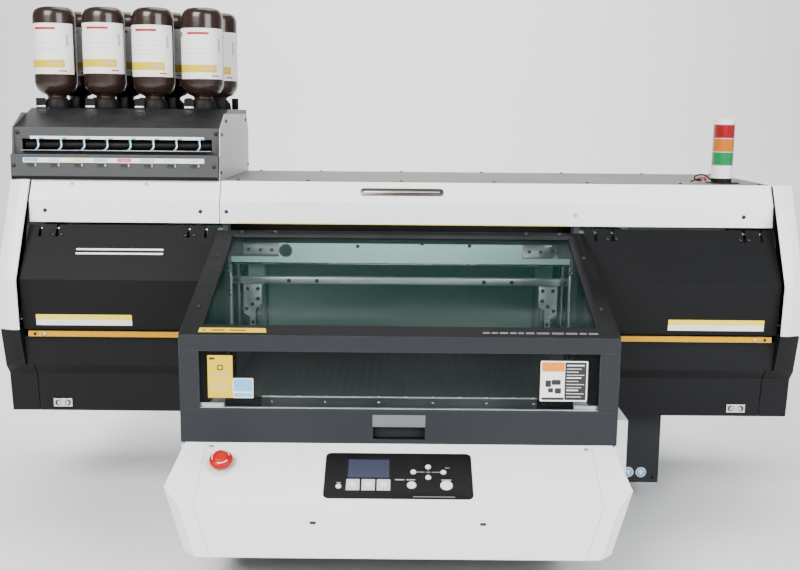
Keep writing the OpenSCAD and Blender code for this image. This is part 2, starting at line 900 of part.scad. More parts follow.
// Table section in [X, Z], with a suction groove at every step
groove_w = 3;
groove_deep = 1.5;
groove_n = 2 * floor((table_w / 2 - 34) / groove_pitch);
groove_x0 = -groove_n / 2 * groove_pitch;
function groove(i) = let (x = groove_x0 + i * groove_pitch) [
    [x - groove_w / 2, table_z], [x - groove_w / 2, table_z - groove_deep],
    [x + groove_w / 2, table_z - groove_deep], [x + groove_w / 2, table_z]];
table_section = concat(
    [[-table_w / 2, table_z - 45], [-table_w / 2, table_z]],
    [for (i = [0:groove_n]) for (p = groove(i)) p],
    [[table_w / 2, table_z], [table_w / 2, table_z - 45]]);

module table_top() {
    color("#1f2123") difference() {
        translate([0, table_front + table_d, 0]) rotate([90, 0, 0]) linear_extrude(table_d)
            polygon(table_section);
        for (x = [-jig_x / 2, jig_x / 2]) for (y = [-jig_y / 2, jig_y / 2])
            translate([x, table_front + table_d / 2 + y, table_z - 20])
                cylinder(r = jig_hole_r, h = 21);
    }
}

module table_screw() {
    color("silver") {
        rod_y(-461, 539, [0, table_screw_z], table_screw_r);
        rod_y(-480, 558, [0, table_screw_z], 6);
    }
}

// ---- one node at a time ----

base_frame();
base_shell();
levelling_feet();
table_rails();
lift_posts();
drive_motors();
deck_cover();
front_fascias();
end_caps();
lower_covers();
yellow_strips();
rear_covers();
electrical_box();
operator_box();
control_panel();
lcd_window();
tower_base();
red_lens();
amber_lens();
green_lens();
ink_tray();
ink_housing();
ink_metalwork();
ink_tubes();
pins_and_screws();
hood_frame();
hood_glass();
hood_window();
stay_tubes();
stay_rods();
left_cover();
right_cover();
gantry_beam();
carriage_rail();
drive_belt();
drive_pulley();
idle_pulley();
capping_base();
cap_pads();
carriage_body();
print_heads();
uv_lamps();
left_lift_screw();
right_lift_screw();
table_saddle();
table_top();
table_screw();
front_bottles();
back_bottles();
soft_key(0);  // soft_key_left
soft_key(1);  // soft_key_middle
soft_key(2);  // soft_key_right
round_key(function_at, arrow_r);  // function_key
round_key(arrow_up, arrow_r);  // up_key
round_key(arrow_down, arrow_r);  // down_key
round_key(arrow_left, arrow_r);  // left_key
round_key(arrow_right, arrow_r);  // right_key
round_key(test_at, test_r);  // test_key
round_key(enter_at, enter_r);  // enter_key
stop_button();
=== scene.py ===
import bpy
import json
import math
import random
from mathutils import Matrix, Vector


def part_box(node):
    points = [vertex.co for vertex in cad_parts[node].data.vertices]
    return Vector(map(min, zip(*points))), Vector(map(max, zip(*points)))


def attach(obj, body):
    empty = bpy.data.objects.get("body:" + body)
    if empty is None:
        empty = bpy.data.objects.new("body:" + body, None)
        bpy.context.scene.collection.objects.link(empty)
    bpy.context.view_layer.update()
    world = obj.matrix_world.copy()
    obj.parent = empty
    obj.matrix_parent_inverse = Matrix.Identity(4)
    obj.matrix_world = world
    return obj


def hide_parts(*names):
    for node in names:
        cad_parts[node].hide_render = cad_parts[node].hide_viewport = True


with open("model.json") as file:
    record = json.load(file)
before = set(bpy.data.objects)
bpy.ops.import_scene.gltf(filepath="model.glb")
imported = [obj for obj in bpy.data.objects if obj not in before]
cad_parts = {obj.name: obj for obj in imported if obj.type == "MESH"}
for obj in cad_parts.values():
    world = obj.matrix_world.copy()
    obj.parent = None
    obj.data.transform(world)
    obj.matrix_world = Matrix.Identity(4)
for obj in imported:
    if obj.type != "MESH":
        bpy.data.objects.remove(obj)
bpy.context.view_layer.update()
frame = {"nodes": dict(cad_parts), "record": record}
bodyOfNode = {node: body for body, nodes in frame["record"]["behaviour"]["bodies"].items() for node in nodes}
mm = 0.001
print("frame loaded:", len(frame["nodes"]), "nodes")

# camera and lights

viewSettings = {
    "position": (0.00175, -2.2575, 0.851),
    "tiltDown": 0.166,
    "roll": 0.0087,
    "turn": -0.0011,
    "lens": 46.15,
}


def aimCamera(settings):
    down, roll, turn = settings["tiltDown"], settings["roll"], settings["turn"]
    forward = Vector((math.sin(turn) * math.cos(down), math.cos(turn) * math.cos(down), -math.sin(down)))
    right = Vector((math.cos(turn), -math.sin(turn), 0))
    up = right.cross(forward)
    camRight = right * math.cos(roll) + up * math.sin(roll)
    camUp = up * math.cos(roll) - right * math.sin(roll)
    data = bpy.data.cameras.new("viewCamera")
    data.lens = settings["lens"]
    data.sensor_width = 36
    data.clip_end = 50
    camera = bpy.data.objects.new("viewCamera", data)
    bpy.context.scene.collection.objects.link(camera)
    turned = Matrix((camRight, camUp, -forward)).transposed().to_4x4()
    camera.matrix_world = Matrix.Translation(settings["position"]) @ turned
    bpy.context.scene.camera = camera


aimCamera(viewSettings)

lampSettings = {
    "key": {"place": (-1.7, -3.2, 2.9), "aim": (0, 0, 0.5), "size": 2.2, "power": 320,
        "colour": (1.0, 0.99, 0.97)},
    "fill": {"place": (2.5, -2.9, 2.0), "aim": (0, 0, 0.5), "size": 2.2, "power": 185,
        "colour": (0.97, 0.985, 1.0)},
    "top": {"place": (0.0, 0.9, 3.4), "aim": (0, 0.2, 0.6), "size": 2.0, "power": 55, "colour": (1, 1, 1)},
    "back": {"place": (0.0, 2.4, 3.6), "aim": (0, 5.2, 1.0), "size": 3.4, "power": 260, "colour": (1, 1, 1)},
    "rim": {"place": (-2.4, 2.9, 2.2), "aim": (0, 0.3, 0.5), "size": 1.8, "power": 45, "colour": (1, 1, 1)},
    "bridge": {"place": (0, -0.055, 0.688), "aim": (0, 0.10, 0.50), "size": 0.66, "depth": 0.025,
        "power": 1.6, "colour": (0.85, 1.0, 0.96)},
}


def addLamp(name, lamp):
    data = bpy.data.lights.new(name + "Lamp", "AREA")
    data.size = lamp["size"]
    if "depth" in lamp:
        data.shape = "RECTANGLE"
        data.size_y = lamp["depth"]
    data.energy = lamp["power"]
    data.color = lamp["colour"]
    light = bpy.data.objects.new(name + "Lamp", data)
    bpy.context.scene.collection.objects.link(light)
    light.location = lamp["place"]
    aim = Vector(lamp["aim"]) - Vector(lamp["place"])
    light.rotation_euler = aim.to_track_quat("-Z", "Y").to_euler()


for lampName, lamp in lampSettings.items():
    addLamp(lampName, lamp)

world = bpy.data.worlds.new("studioWorld")
world.use_nodes = True
world.node_tree.nodes["Background"].inputs[0].default_value = (0.86, 0.88, 0.9, 1)
world.node_tree.nodes["Background"].inputs[1].default_value = 0.30
bpy.context.scene.world = world
print("camera and lights placed")

# shader groups


def newGroup(name, inputs, outputs):
    group = bpy.data.node_groups.new(name, "ShaderNodeTree")
    for label, kind, start in inputs:
        socket = group.interface.new_socket(label, in_out="INPUT", socket_type=kind)
        socket.default_value = start
    for label, kind in outputs:
        group.interface.new_socket(label, in_out="OUTPUT", socket_type=kind)
    start = group.nodes.new("NodeGroupInput")
    end = group.nodes.new("NodeGroupOutput")
    return group, start, end


def addNode(tree, kind, **settings):
    node = tree.nodes.new(kind)
    for key, value in settings.items():
        setattr(node, key, value)
    return node


def mathNode(tree, operation, a, b=None):
    node = addNode(tree, "ShaderNodeMath", operation=operation)
    for slot, value in enumerate((a, b)):
        if value is None:
            continue
        if isinstance(value, (int, float)):
            node.inputs[slot].default_value = value
        else:
            tree.links.new(value, node.inputs[slot])
    return node.outputs[0]


def noiseOn(tree, scale, detail=3.0, rough=0.5, stretch=None):
    coords = addNode(tree, "ShaderNodeTexCoord")
    mapping = addNode(tree, "ShaderNodeMapping")
    if stretch:
        mapping.inputs["Scale"].default_value = stretch
    tree.links.new(coords.outputs["Object"], mapping.inputs["Vector"])
    noise = addNode(tree, "ShaderNodeTexNoise")
    tree.links.new(mapping.outputs[0], noise.inputs["Vector"])
    noise.inputs["Detail"].default_value = detail
    noise.inputs["Roughness"].default_value = rough
    if isinstance(scale, (int, float)):
        noise.inputs["Scale"].default_value = scale
    else:
        tree.links.new(scale, noise.inputs["Scale"])
    return noise.outputs["Fac"]


def rampOf(tree, value, low, high):
    node = addNode(tree, "ShaderNodeMapRange", interpolation_type="SMOOTHSTEP")
    tree.links.new(value, node.inputs["Value"])
    node.inputs["From Min"].default_value = low
    node.inputs["From Max"].default_value = high
    return node.outputs[0]


def mixColour(tree, factor, a, b, blend="MIX"):
    node = addNode(tree, "ShaderNodeMix", data_type="RGBA", blend_type=blend)
    for slot, value in ((0, factor), (6, a), (7, b)):
        if isinstance(value, (int, float)):
            node.inputs[slot].default_value = value
        elif isinstance(value, tuple):
            node.inputs[slot].default_value = (*value[:3], 1)
        else:
            tree.links.new(value, node.inputs[slot])
    return node.outputs[2]


def makeCoatGroup():
    group, start, end = newGroup("coatGrain",
        [("Colour", "NodeSocketColor", (0.5, 0.5, 0.5, 1)), ("Shade", "NodeSocketFloat", 0.1),
         ("Grain Scale", "NodeSocketFloat", 900.0), ("Roughness", "NodeSocketFloat", 0.4)],
        [("Colour", "NodeSocketColor"), ("Roughness", "NodeSocketFloat"), ("Height", "NodeSocketFloat")])
    cloudy = noiseOn(group, 2.3, 4)
    fine = noiseOn(group, start.outputs["Grain Scale"], 2, 0.6)
    shadeFactor = mathNode(group, "MULTIPLY", rampOf(group, cloudy, 0.3, 0.75), start.outputs["Shade"])
    darker = mixColour(group, 1.0, start.outputs["Colour"], (0.72, 0.72, 0.74), "MULTIPLY")
    shaded = mixColour(group, shadeFactor, start.outputs["Colour"], darker)
    speckle = mathNode(group, "MULTIPLY", rampOf(group, fine, 0.45, 0.75), 0.10)
    speckled = mixColour(group, speckle, shaded, (0.9, 0.9, 0.9), "SOFT_LIGHT")
    roughSwing = mathNode(group, "MULTIPLY", mathNode(group, "SUBTRACT", cloudy, 0.5), 0.22)
    group.links.new(speckled, end.inputs["Colour"])
    group.links.new(mathNode(group, "ADD", start.outputs["Roughness"], roughSwing), end.inputs["Roughness"])
    group.links.new(fine, end.inputs["Height"])
    return group


def makeWearGroup():
    group, start, end = newGroup("edgeRub", [("Radius", "NodeSocketFloat", 0.002), ("Amount", "NodeSocketFloat", 0.5)],
        [("Mask", "NodeSocketFloat")])
    rounded = addNode(group, "ShaderNodeBevel", samples=4)
    group.links.new(start.outputs["Radius"], rounded.inputs["Radius"])
    geometry = addNode(group, "ShaderNodeNewGeometry")
    dot = addNode(group, "ShaderNodeVectorMath", operation="DOT_PRODUCT")
    group.links.new(rounded.outputs[0], dot.inputs[0])
    group.links.new(geometry.outputs["Normal"], dot.inputs[1])
    turned = mathNode(group, "SUBTRACT", 1.0, dot.outputs["Value"])
    patchy = rampOf(group, noiseOn(group, 38.0, 5, 0.7), 0.42, 0.68)
    mask = mathNode(group, "MULTIPLY", rampOf(group, turned, 0.02, 0.16), patchy)
    group.links.new(mathNode(group, "MULTIPLY", mask, start.outputs["Amount"]), end.inputs["Mask"])
    return group


def makeDustGroup():
    group, start, end = newGroup("settledDust", [("Amount", "NodeSocketFloat", 0.2)], [("Mask", "NodeSocketFloat")])
    geometry = addNode(group, "ShaderNodeNewGeometry")
    split = addNode(group, "ShaderNodeSeparateXYZ")
    group.links.new(geometry.outputs["Normal"], split.inputs[0])
    facing = rampOf(group, split.outputs["Z"], 0.55, 1.0)
    patchy = rampOf(group, noiseOn(group, 9.0, 6, 0.65), 0.35, 0.8)
    mask = mathNode(group, "MULTIPLY", facing, patchy)
    group.links.new(mathNode(group, "MULTIPLY", mask, start.outputs["Amount"]), end.inputs["Mask"])
    return group


def makeBrushGroup():
    group, start, end = newGroup("brushLines",
        [("Colour", "NodeSocketColor", (0.6, 0.6, 0.6, 1)), ("Roughness", "NodeSocketFloat", 0.3)],
        [("Colour", "NodeSocketColor"), ("Roughness", "NodeSocketFloat"), ("Height", "NodeSocketFloat")])
    lines = noiseOn(group, 60.0, 4, 0.7, (0.25, 14.0, 14.0))
    stains = noiseOn(group, 6.0, 5, 0.6)
    darker = mixColour(group, 1.0, start.outputs["Colour"], (0.7, 0.72, 0.74), "MULTIPLY")
    toned = mixColour(group, rampOf(group, lines, 0.35, 0.7), start.outputs["Colour"], darker)
    stained = mixColour(group, mathNode(group, "MULTIPLY", rampOf(group, stains, 0.45, 0.8), 0.35), toned, darker)
    group.links.new(stained, end.inputs["Colour"])
    swing = mathNode(group, "MULTIPLY", mathNode(group, "SUBTRACT", stains, 0.5), 0.3)
    group.links.new(mathNode(group, "ADD", start.outputs["Roughness"], swing), end.inputs["Roughness"])
    group.links.new(lines, end.inputs["Height"])
    return group


coatGrain = makeCoatGroup()
edgeRub = makeWearGroup()
settledDust = makeDustGroup()
brushLines = makeBrushGroup()

# finishes

finishes = {}


def useGroup(tree, group, **values):
    node = addNode(tree, "ShaderNodeGroup", node_tree=group)
    for key, value in values.items():
        label = key.replace("_", " ")
        node.inputs[label].default_value = (*value, 1) if isinstance(value, tuple) else value
    return node


def startMaterial(name):
    material = bpy.data.materials.new(name)
    material.use_nodes = True
    finishes[name] = material
    return material, material.node_tree, material.node_tree.nodes["Principled BSDF"]


# Small relief on the shading, from a height
def bumpOn(tree, shader, height, strength, depth):
    bump = addNode(tree, "ShaderNodeBump")
    bump.inputs["Strength"].default_value = strength
    bump.inputs["Distance"].default_value = depth
    tree.links.new(height, bump.inputs["Height"])
    tree.links.new(bump.outputs[0], shader.inputs["Normal"])


# A coated, moulded or printed surface with grain, rubbed edges and a little dust
def coated(name, colour, roughness=0.4, shade=0.25, grainScale=900.0, grainHeight=0.12, rub=0.3,
           rubColour=(0.6, 0.6, 0.6), dust=0.12, coat=0.0, metallic=0.0, shine=0.5):
    material, tree, shader = startMaterial(name)
    grain = useGroup(tree, coatGrain, Colour=colour, Shade=shade, Grain_Scale=grainScale, Roughness=roughness)
    tone = grain.outputs["Colour"]
    if rub:
        wear = useGroup(tree, edgeRub, Radius=0.0015, Amount=rub)
        tone = mixColour(tree, wear.outputs["Mask"], tone, rubColour)
    if dust:
        film = useGroup(tree, settledDust, Amount=dust)
        tone = mixColour(tree, film.outputs["Mask"], tone, (0.5, 0.48, 0.45))
    tree.links.new(tone, shader.inputs["Base Color"])
    tree.links.new(grain.outputs["Roughness"], shader.inputs["Roughness"])
    bumpOn(tree, shader, grain.outputs["Height"], grainHeight, 0.0006)
    shader.inputs["Coat Weight"].default_value = coat
    shader.inputs["Coat Roughness"].default_value = 0.12
    shader.inputs["Metallic"].default_value = metallic
    shader.inputs["Specular IOR Level"].default_value = shine
    return material


# Bare metal with fine lines, stains and a soft shine
def bareMetal(name, colour, roughness=0.3, lineHeight=0.1, rub=0.0):
    material, tree, shader = startMaterial(name)
    brush = useGroup(tree, brushLines, Colour=colour, Roughness=roughness)
    tone = brush.outputs["Colour"]
    if rub:
        wear = useGroup(tree, edgeRub, Radius=0.001, Amount=rub)
        tone = mixColour(tree, wear.outputs["Mask"], tone, (0.85, 0.86, 0.87))
    tree.links.new(tone, shader.inputs["Base Color"])
    tree.links.new(brush.outputs["Roughness"], shader.inputs["Roughness"])
    bumpOn(tree, shader, brush.outputs["Height"], lineHeight, 0.0004)
    shader.inputs["Metallic"].default_value = 1.0
    return material


# Thin tinted pane: a plain gloss sheet that lets part of the light straight through
def pane(name, colour, cover, roughness=0.05):
    material, tree, shader = startMaterial(name)
    smear = rampOf(tree, noiseOn(tree, 7.0, 6, 0.6, (1.0, 0.35, 1.0)), 0.4, 0.85)
    tone = mixColour(tree, mathNode(tree, "MULTIPLY", smear, 0.04), colour, (0.5, 0.55, 0.55))
    tree.links.new(tone, shader.inputs["Base Color"])
    film = mathNode(tree, "ADD", mathNode(tree, "MULTIPLY", smear, 0.12), roughness)
    tree.links.new(film, shader.inputs["Roughness"])
    shader.inputs["Alpha"].default_value = cover
    shader.inputs["Specular IOR Level"].default_value = 0.2
    return material


# Ribbed translucent lens of the signal tower, lit faintly from inside, with painted shade: the colour is darker in
# alternate bands round the ribs
def lens(name, colour, glow):
    material, tree, shader = startMaterial(name)
    coords = addNode(tree, "ShaderNodeTexCoord")
    mapping = addNode(tree, "ShaderNodeMapping")
    mapping.inputs["Location"].default_value = (-0.7, 0.004, 0)
    tree.links.new(coords.outputs["Object"], mapping.inputs["Vector"])
    split = addNode(tree, "ShaderNodeSeparateXYZ")
    tree.links.new(mapping.outputs[0], split.inputs[0])
    angle = mathNode(tree, "ARCTAN2", split.outputs["Y"], split.outputs["X"])
    ribs = mathNode(tree, "SINE", mathNode(tree, "MULTIPLY", angle, 48.0))
    # painted shade: a darker copy of the lens colour, laid in alternate bands round the ribs
    paintedRibShade = tuple(c * 0.55 for c in colour)
    tone = mixColour(tree, rampOf(tree, ribs, -1.0, 1.0), paintedRibShade, colour)
    tree.links.new(tone, shader.inputs["Base Color"])
    cloud = noiseOn(tree, 40.0, 3)
    tree.links.new(mathNode(tree, "ADD", mathNode(tree, "MULTIPLY", cloud, 0.12), 0.12), shader.inputs["Roughness"])
    shader.inputs["Emission Color"].default_value = (*colour, 1)
    shader.inputs["Emission Strength"].default_value = glow
    shader.inputs["Coat Weight"].default_value = 0.6
    bumpOn(tree, shader, ribs, 0.35, 0.001)
    return material


coated("whiteEnamel", (0.86, 0.865, 0.87), 0.36, 0.10, 700, 0.10, 0.25, (0.55, 0.55, 0.54), 0.05, 0.12)
coated("capEnamel", (0.80, 0.805, 0.81), 0.38, 0.12, 700, 0.10, 0.25, (0.5, 0.5, 0.5), 0.05, 0.1)
coated("boxEnamel", (0.86, 0.863, 0.865), 0.38, 0.10, 800, 0.10, 0.2, (0.5, 0.5, 0.5), 0.05, 0.1)
coated("deckEnamel", (0.13, 0.122, 0.113), 0.5, 0.3, 900, 0.2, 0.3, (0.45, 0.45, 0.43), 0.1, shine=0.2)
coated("rearEnamel", (0.50, 0.505, 0.50), 0.42, 0.2, 900, 0.16, 0.3, (0.7, 0.7, 0.68), 0.15)
coated("darkEnamel", (0.0068, 0.0070, 0.0075), 0.46, 0.35, 1100, 0.22, 0.35, (0.12, 0.12, 0.12), 0.03, shine=0.12)
coated("fairingEnamel", (0.0074, 0.0076, 0.0083), 0.46, 0.35, 1100, 0.22, 0.35, (0.12, 0.12, 0.12),
        0.03, shine=0.14)
coated("hoodFront", (0.022, 0.0243, 0.0275), 0.48, 0.2, 1200, 0.25, 0.4, (0.2, 0.21, 0.22), 0.03, shine=0.12)
coated("handleGrey", (0.13, 0.135, 0.14), 0.36, 0.3, 900, 0.15, 0.4, (0.4, 0.4, 0.4), 0.1)
coated("hoodLid", (0.0050, 0.0053, 0.0058), 0.5, 0.25, 1100, 0.2, 0.35, (0.10, 0.10, 0.11), 0.01, shine=0.07)
coated("inkFront", (0.056, 0.059, 0.059), 0.45, 0.3, 1200, 0.25, 0.4, (0.3, 0.3, 0.3), 0.1, shine=0.25)
coated("inkTop", (0.0085, 0.0085, 0.0092), 0.48, 0.3, 1000, 0.25, 0.4, (0.12, 0.12, 0.12), 0.04, shine=0.14)
coated("plateZinc", (0.36, 0.365, 0.34), 0.42, 0.35, 500, 0.15, 0.3, (0.7, 0.7, 0.7), 0.1, metallic=0.35)
coated("chassisBlack", (0.03, 0.03, 0.033), 0.45, 0.35, 900, 0.3, 0.35, (0.25, 0.25, 0.25), 0.15)
coated("tableBlack", (0.0075, 0.0078, 0.0085), 0.4, 0.3, 1300, 0.2, 0.4, (0.2, 0.2, 0.2),
        0.03, metallic=0.2, shine=0.2)
coated("matteBlack", (0.006, 0.006, 0.006), 0.5, 0.25, 900, 0.3, 0.25, (0.08, 0.08, 0.08), 0.03, shine=0.15)
coated("rubberBlack", (0.006, 0.006, 0.006), 0.62, 0.3, 600, 0.35, 0.1, (0.06, 0.06, 0.06), 0.03, shine=0.12)
coated("stripYellow", (0.55, 0.27, 0.0), 0.45, 0.2, 900, 0.15, 0.35, (0.35, 0.22, 0.06), 0.03, shine=0.25)
# printed finishes: colour, roughness, shade and shine
printFinishes = {
    "labelWhite": ((0.80, 0.80, 0.78), 0.45, 0.12, 0.5),
    "labelCream": ((0.86, 0.66, 0.04), 0.55, 0.12, 0.2),
    "labelYellow": ((0.66, 0.45, 0.0), 0.55, 0.1, 0.2),
    "labelOrange": ((0.74, 0.20, 0.0), 0.4, 0.1, 0.5),
    "labelBlue": ((0.14, 0.42, 0.74), 0.4, 0.1, 0.5),
    "labelBlack": ((0.012, 0.012, 0.014), 0.4, 0.1, 0.5),
    "labelRed": ((0.40, 0.0, 0.004), 0.4, 0.1, 0.5),
    "labelGrey": ((0.42, 0.42, 0.43), 0.45, 0.1, 0.5),
}
for printName, (colour, roughness, shade, shine) in printFinishes.items():
    coated(printName, colour, roughness, shade, 1500, 0.05, 0.0, dust=0.0, shine=shine)
coated("panelFilm", (0.0045, 0.0045, 0.005), 0.4, 0.2, 1500, 0.05, 0.0, dust=0.01, shine=0.14)
coated("displayBlue", (0.028, 0.032, 0.062), 0.3, 0.5, 400, 0.03, 0.0, dust=0.0, shine=0.2)
coated("keyGrey", (0.50, 0.51, 0.53), 0.4, 0.15, 1500, 0.1, 0.2, (0.7, 0.7, 0.7), 0.04)
coated("keyWhite", (0.72, 0.73, 0.76), 0.35, 0.1, 1500, 0.08, 0.1, (0.8, 0.8, 0.8), 0.02)
coated("stopRed", (0.40, 0.0, 0.0), 0.38, 0.2, 900, 0.06, 0.1, (0.6, 0.1, 0.08), 0.02, shine=0.2)
coated("stopSeat", (0.66, 0.68, 0.60), 0.4, 0.15, 900, 0.1, 0.1, (0.6, 0.5, 0.3), 0.05)
coated("towerWhite", (0.78, 0.78, 0.77), 0.36, 0.12, 1000, 0.08, 0.15, (0.6, 0.6, 0.6), 0.05, coat=0.2)
coated("bottleBrown", (0.022, 0.011, 0.008), 0.26, 0.35, 300, 0.10, 0.1, (0.08, 0.05, 0.04),
        0.02, coat=0.3, shine=0.35)
coated("tubeBlue", (0.06, 0.32, 0.52), 0.22, 0.2, 500, 0.05, 0.0, dust=0.0, coat=0.5)
coated("tubeWhite", (0.70, 0.78, 0.80), 0.22, 0.2, 500, 0.05, 0.0, dust=0.0, coat=0.5)
coated("carriageGrey", (0.42, 0.43, 0.44), 0.4, 0.2, 900, 0.2, 0.2, (0.6, 0.6, 0.6), 0.1)
coated("badgeBronze", (0.10, 0.078, 0.066), 0.3, 0.25, 900, 0.1, 0.3, (0.4, 0.34, 0.3), 0.03, metallic=0.7)
# partly painted light: the gantry beam and rear baffle get a light teal non-metal paint, lighter than their bare zinc,
# standing for the lit interior seen through the tinted lid
coated("beamZinc", (0.46, 0.68, 0.62), 0.4, 0.3, 300, 0.1, 0.3, (0.9, 0.95, 0.95), 0.05)
bareMetal("brightSteel", (0.62, 0.63, 0.64), 0.24, 0.08, 0.2)
bareMetal("zincSheet", (0.52, 0.60, 0.58), 0.38, 0.12, 0.3)
bareMetal("aluminium", (0.66, 0.68, 0.69), 0.34, 0.15, 0.2)
bareMetal("darkScrew", (0.05, 0.05, 0.055), 0.35, 0.05)
pane("lidPane", (0.006, 0.045, 0.038), 0.13)
pane("smokePane", (0.003, 0.005, 0.0055), 0.20)
lens("redLens", (0.34, 0.0, 0.006), 0.02)
lens("amberLens", (0.62, 0.17, 0.0), 0.03)
lens("greenLens", (0.0, 0.24, 0.07), 0.02)
print("finishes made:", len(finishes))

# modelling helpers


def deselectAll():
    if bpy.context.object and bpy.context.object.mode != "OBJECT":
        bpy.ops.object.mode_set(mode="OBJECT")
    for item in list(bpy.context.selected_objects):
        item.select_set(False)


def pick(item):
    deselectAll()
    item.select_set(True)
    bpy.context.view_layer.objects.active = item


def editMode():
    bpy.ops.object.mode_set(mode="EDIT")


def objectMode():
    bpy.ops.object.mode_set(mode="OBJECT")


def applyModifier(item, kind, **settings):
    pick(item)
    modifier = item.modifiers.new(kind.lower(), kind)
    for key, value in settings.items():
        setattr(modifier, key, value)
    bpy.ops.object.modifier_apply(modifier=modifier.name)


def smoothBy(item, degrees=32):
    pick(item)
    bpy.ops.object.shade_smooth_by_angle(angle=math.radians(degrees))


# One vertex at a point, in edit mode, ready to be extruded
def beginAt(name, point):
    deselectAll()
    bpy.ops.mesh.primitive_plane_add(size=0.01, location=(0, 0, 0))
    item = bpy.context.object
    item.name = name
    item.data.name = name
    editMode()
    bpy.ops.mesh.select_all(action="SELECT")
    bpy.ops.mesh.merge(type="CENTER")
    bpy.ops.transform.translate(value=Vector(point))
    return item


def extrudeBy(step):
    bpy.ops.mesh.extrude_region_move(TRANSFORM_OT_translate={"value": Vector(step)})


def traceLine(points):
    for before, after in zip(points, points[1:]):
        extrudeBy(Vector(after) - Vector(before))


def finishPiece(item, finish, bevel=0.0, segments=2, angle=32):
    objectMode()
    if bevel:
        applyModifier(item, "BEVEL", width=bevel, segments=segments, limit_method="ANGLE",
            angle_limit=math.radians(30), harden_normals=False)
    smoothBy(item, angle)
    item.data.materials.clear()
    item.data.materials.append(finishes[finish])
    return item


# Closed outline pushed into a solid
def pushed(name, outline, push, finish, bevel=0.0, segments=2):
    item = beginAt(name, outline[0])
    traceLine(outline)
    bpy.ops.mesh.select_all(action="SELECT")
    bpy.ops.mesh.edge_face_add()
    extrudeBy(push)
    bpy.ops.mesh.select_all(action="SELECT")
    bpy.ops.mesh.normals_make_consistent(inside=False)
    return finishPiece(item, finish, bevel, segments)


# Outline turned round an axis; profile holds (radius, height) pairs
def turned(name, profile, origin, axis, finish, steps=40, bevel=0.0, angle=40):
    axis = Vector(axis).normalized()
    side = axis.orthogonal().normalized()
    origin = Vector(origin)
    points = [origin + axis * h + side * r for r, h in profile]
    item = beginAt(name, points[0])
    traceLine(points)
    bpy.ops.mesh.select_all(action="SELECT")
    bpy.ops.mesh.spin(steps=steps, angle=math.tau, center=origin, axis=axis)
    bpy.ops.mesh.select_all(action="SELECT")
    bpy.ops.mesh.remove_doubles(threshold=0.00002)
    bpy.ops.mesh.normals_make_consistent(inside=False)
    return finishPiece(item, finish, bevel, 2, angle)


# Turned piece at the origin, pointing up, to be copied into place
def upright(name, profile, finish, steps=40):
    return turned(name, profile, (0, 0, 0), (0, 0, 1), finish, steps)


def block(name, low, high, finish, bevel=0.0008, segments=2):
    low, high = Vector(low), Vector(high)
    outline = [low, (high.x, low.y, low.z), (high.x, high.y, low.z), (low.x, high.y, low.z)]
    return pushed(name, outline, (0, 0, high.z - low.z), finish, bevel, segments)


# Thin plate with rounded corners on any face: its middle and two directions
def plateOn(name, centre, across, along, width, height, thick, finish, corner=0.0015, bevel=0.0):
    across, along = Vector(across).normalized(), Vector(along).normalized()
    normal = across.cross(along)
    w, h, c = width / 2, height / 2, min(corner, width / 2.01, height / 2.01)
    points = []
    for sx, sy, startAngle in ((1, -1, -90), (1, 1, 0), (-1, 1, 90), (-1, -1, 180)):
        for k in range(4):
            turn = math.radians(startAngle + 30 * k)
            sideways = sx * (w - c) + c * math.cos(turn)
            upwards = sy * (h - c) + c * math.sin(turn)
            points.append(Vector(centre) + across * sideways + along * upwards)
    return pushed(name, points, normal * thick, finish, bevel)


def copyOf(item, name, matrix):
    other = item.copy()
    other.data = item.data.copy()
    other.name = name
    other.data.name = name
    bpy.context.scene.collection.objects.link(other)
    other.data.transform(matrix)
    return other


def joined(items, name):
    deselectAll()
    for item in items:
        item.select_set(True)
    bpy.context.view_layer.objects.active = items[0]
    if len(items) > 1:
        bpy.ops.object.join()
    result = bpy.context.object
    result.name = name
    result.data.name = name
    return result


def facing(place, normal):
    turn = Vector((0, 0, 1)).rotation_difference(Vector(normal).normalized()).to_matrix().to_4x4()
    return Matrix.Translation(Vector(place)) @ turn


def remove(item):
    bpy.data.objects.remove(item, do_unlink=True)


def onBody(item, body):
    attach(item, body)
    return item


def grouped(items, name, body):
    return onBody(joined(items, name), body)


# Merged copy of a CAD solid with rounded edges, standing for that solid
def rounded(node, finish, width=0.001, segments=2):
    source = frame["nodes"][node]
    deselectAll()
    item = source.copy()
    item.data = source.data.copy()
    item.name = "".join(w.capitalize() if i else w for i, w in enumerate(node.split("_")))
    item.parent = None
    item.matrix_world = Matrix.Identity(4)
    bpy.context.scene.collection.objects.link(item)
    pick(item)
    editMode()
    bpy.ops.mesh.select_all(action="SELECT")
    bpy.ops.mesh.remove_doubles(threshold=0.00001)
    bpy.ops.mesh.dissolve_limited(angle_limit=math.radians(0.5))
    objectMode()
    if width:
        applyModifier(item, "BEVEL", width=width, segments=segments, limit_method="ANGLE",
            angle_limit=math.radians(30))
    smoothBy(item, 18)
    applyModifier(item, "WEIGHTED_NORMAL", keep_sharp=True)
    item.data.materials.clear()
    item.data.materials.append(finishes[finish])
    return item


def stands(item, node):
    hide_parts(node)
    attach(item, bodyOfNode[node])
    return item


# screws


def panScrew(name, radius, finish):
    top = radius * 0.55
    return upright(name, [(0, top * 0.4), (radius * 0.32, top * 0.4), (radius * 0.36, top), (radius * 0.6, top * 0.93),
        (radius * 0.9, top * 0.55), (radius, top * 0.12), (radius, -0.0004), (0, -0.0004)], finish, 18)


darkPan = panScrew("darkPan", 0.0042, "darkScrew")
brightPan = panScrew("brightPan", 0.0042, "brightSteel")


# Copies of one screw, plug or rivet at places, each a point and a direction
def screwSet(name, source, places, body="frame"):
    copies = [copyOf(source, name + str(i), facing(place, normal)) for i, (place, normal) in enumerate(places)]
    return grouped(copies, name, body)


def aimed(way, spots):
    return [(Vector(spot), Vector(way)) for spot in spots]


# directions of the tilted faces

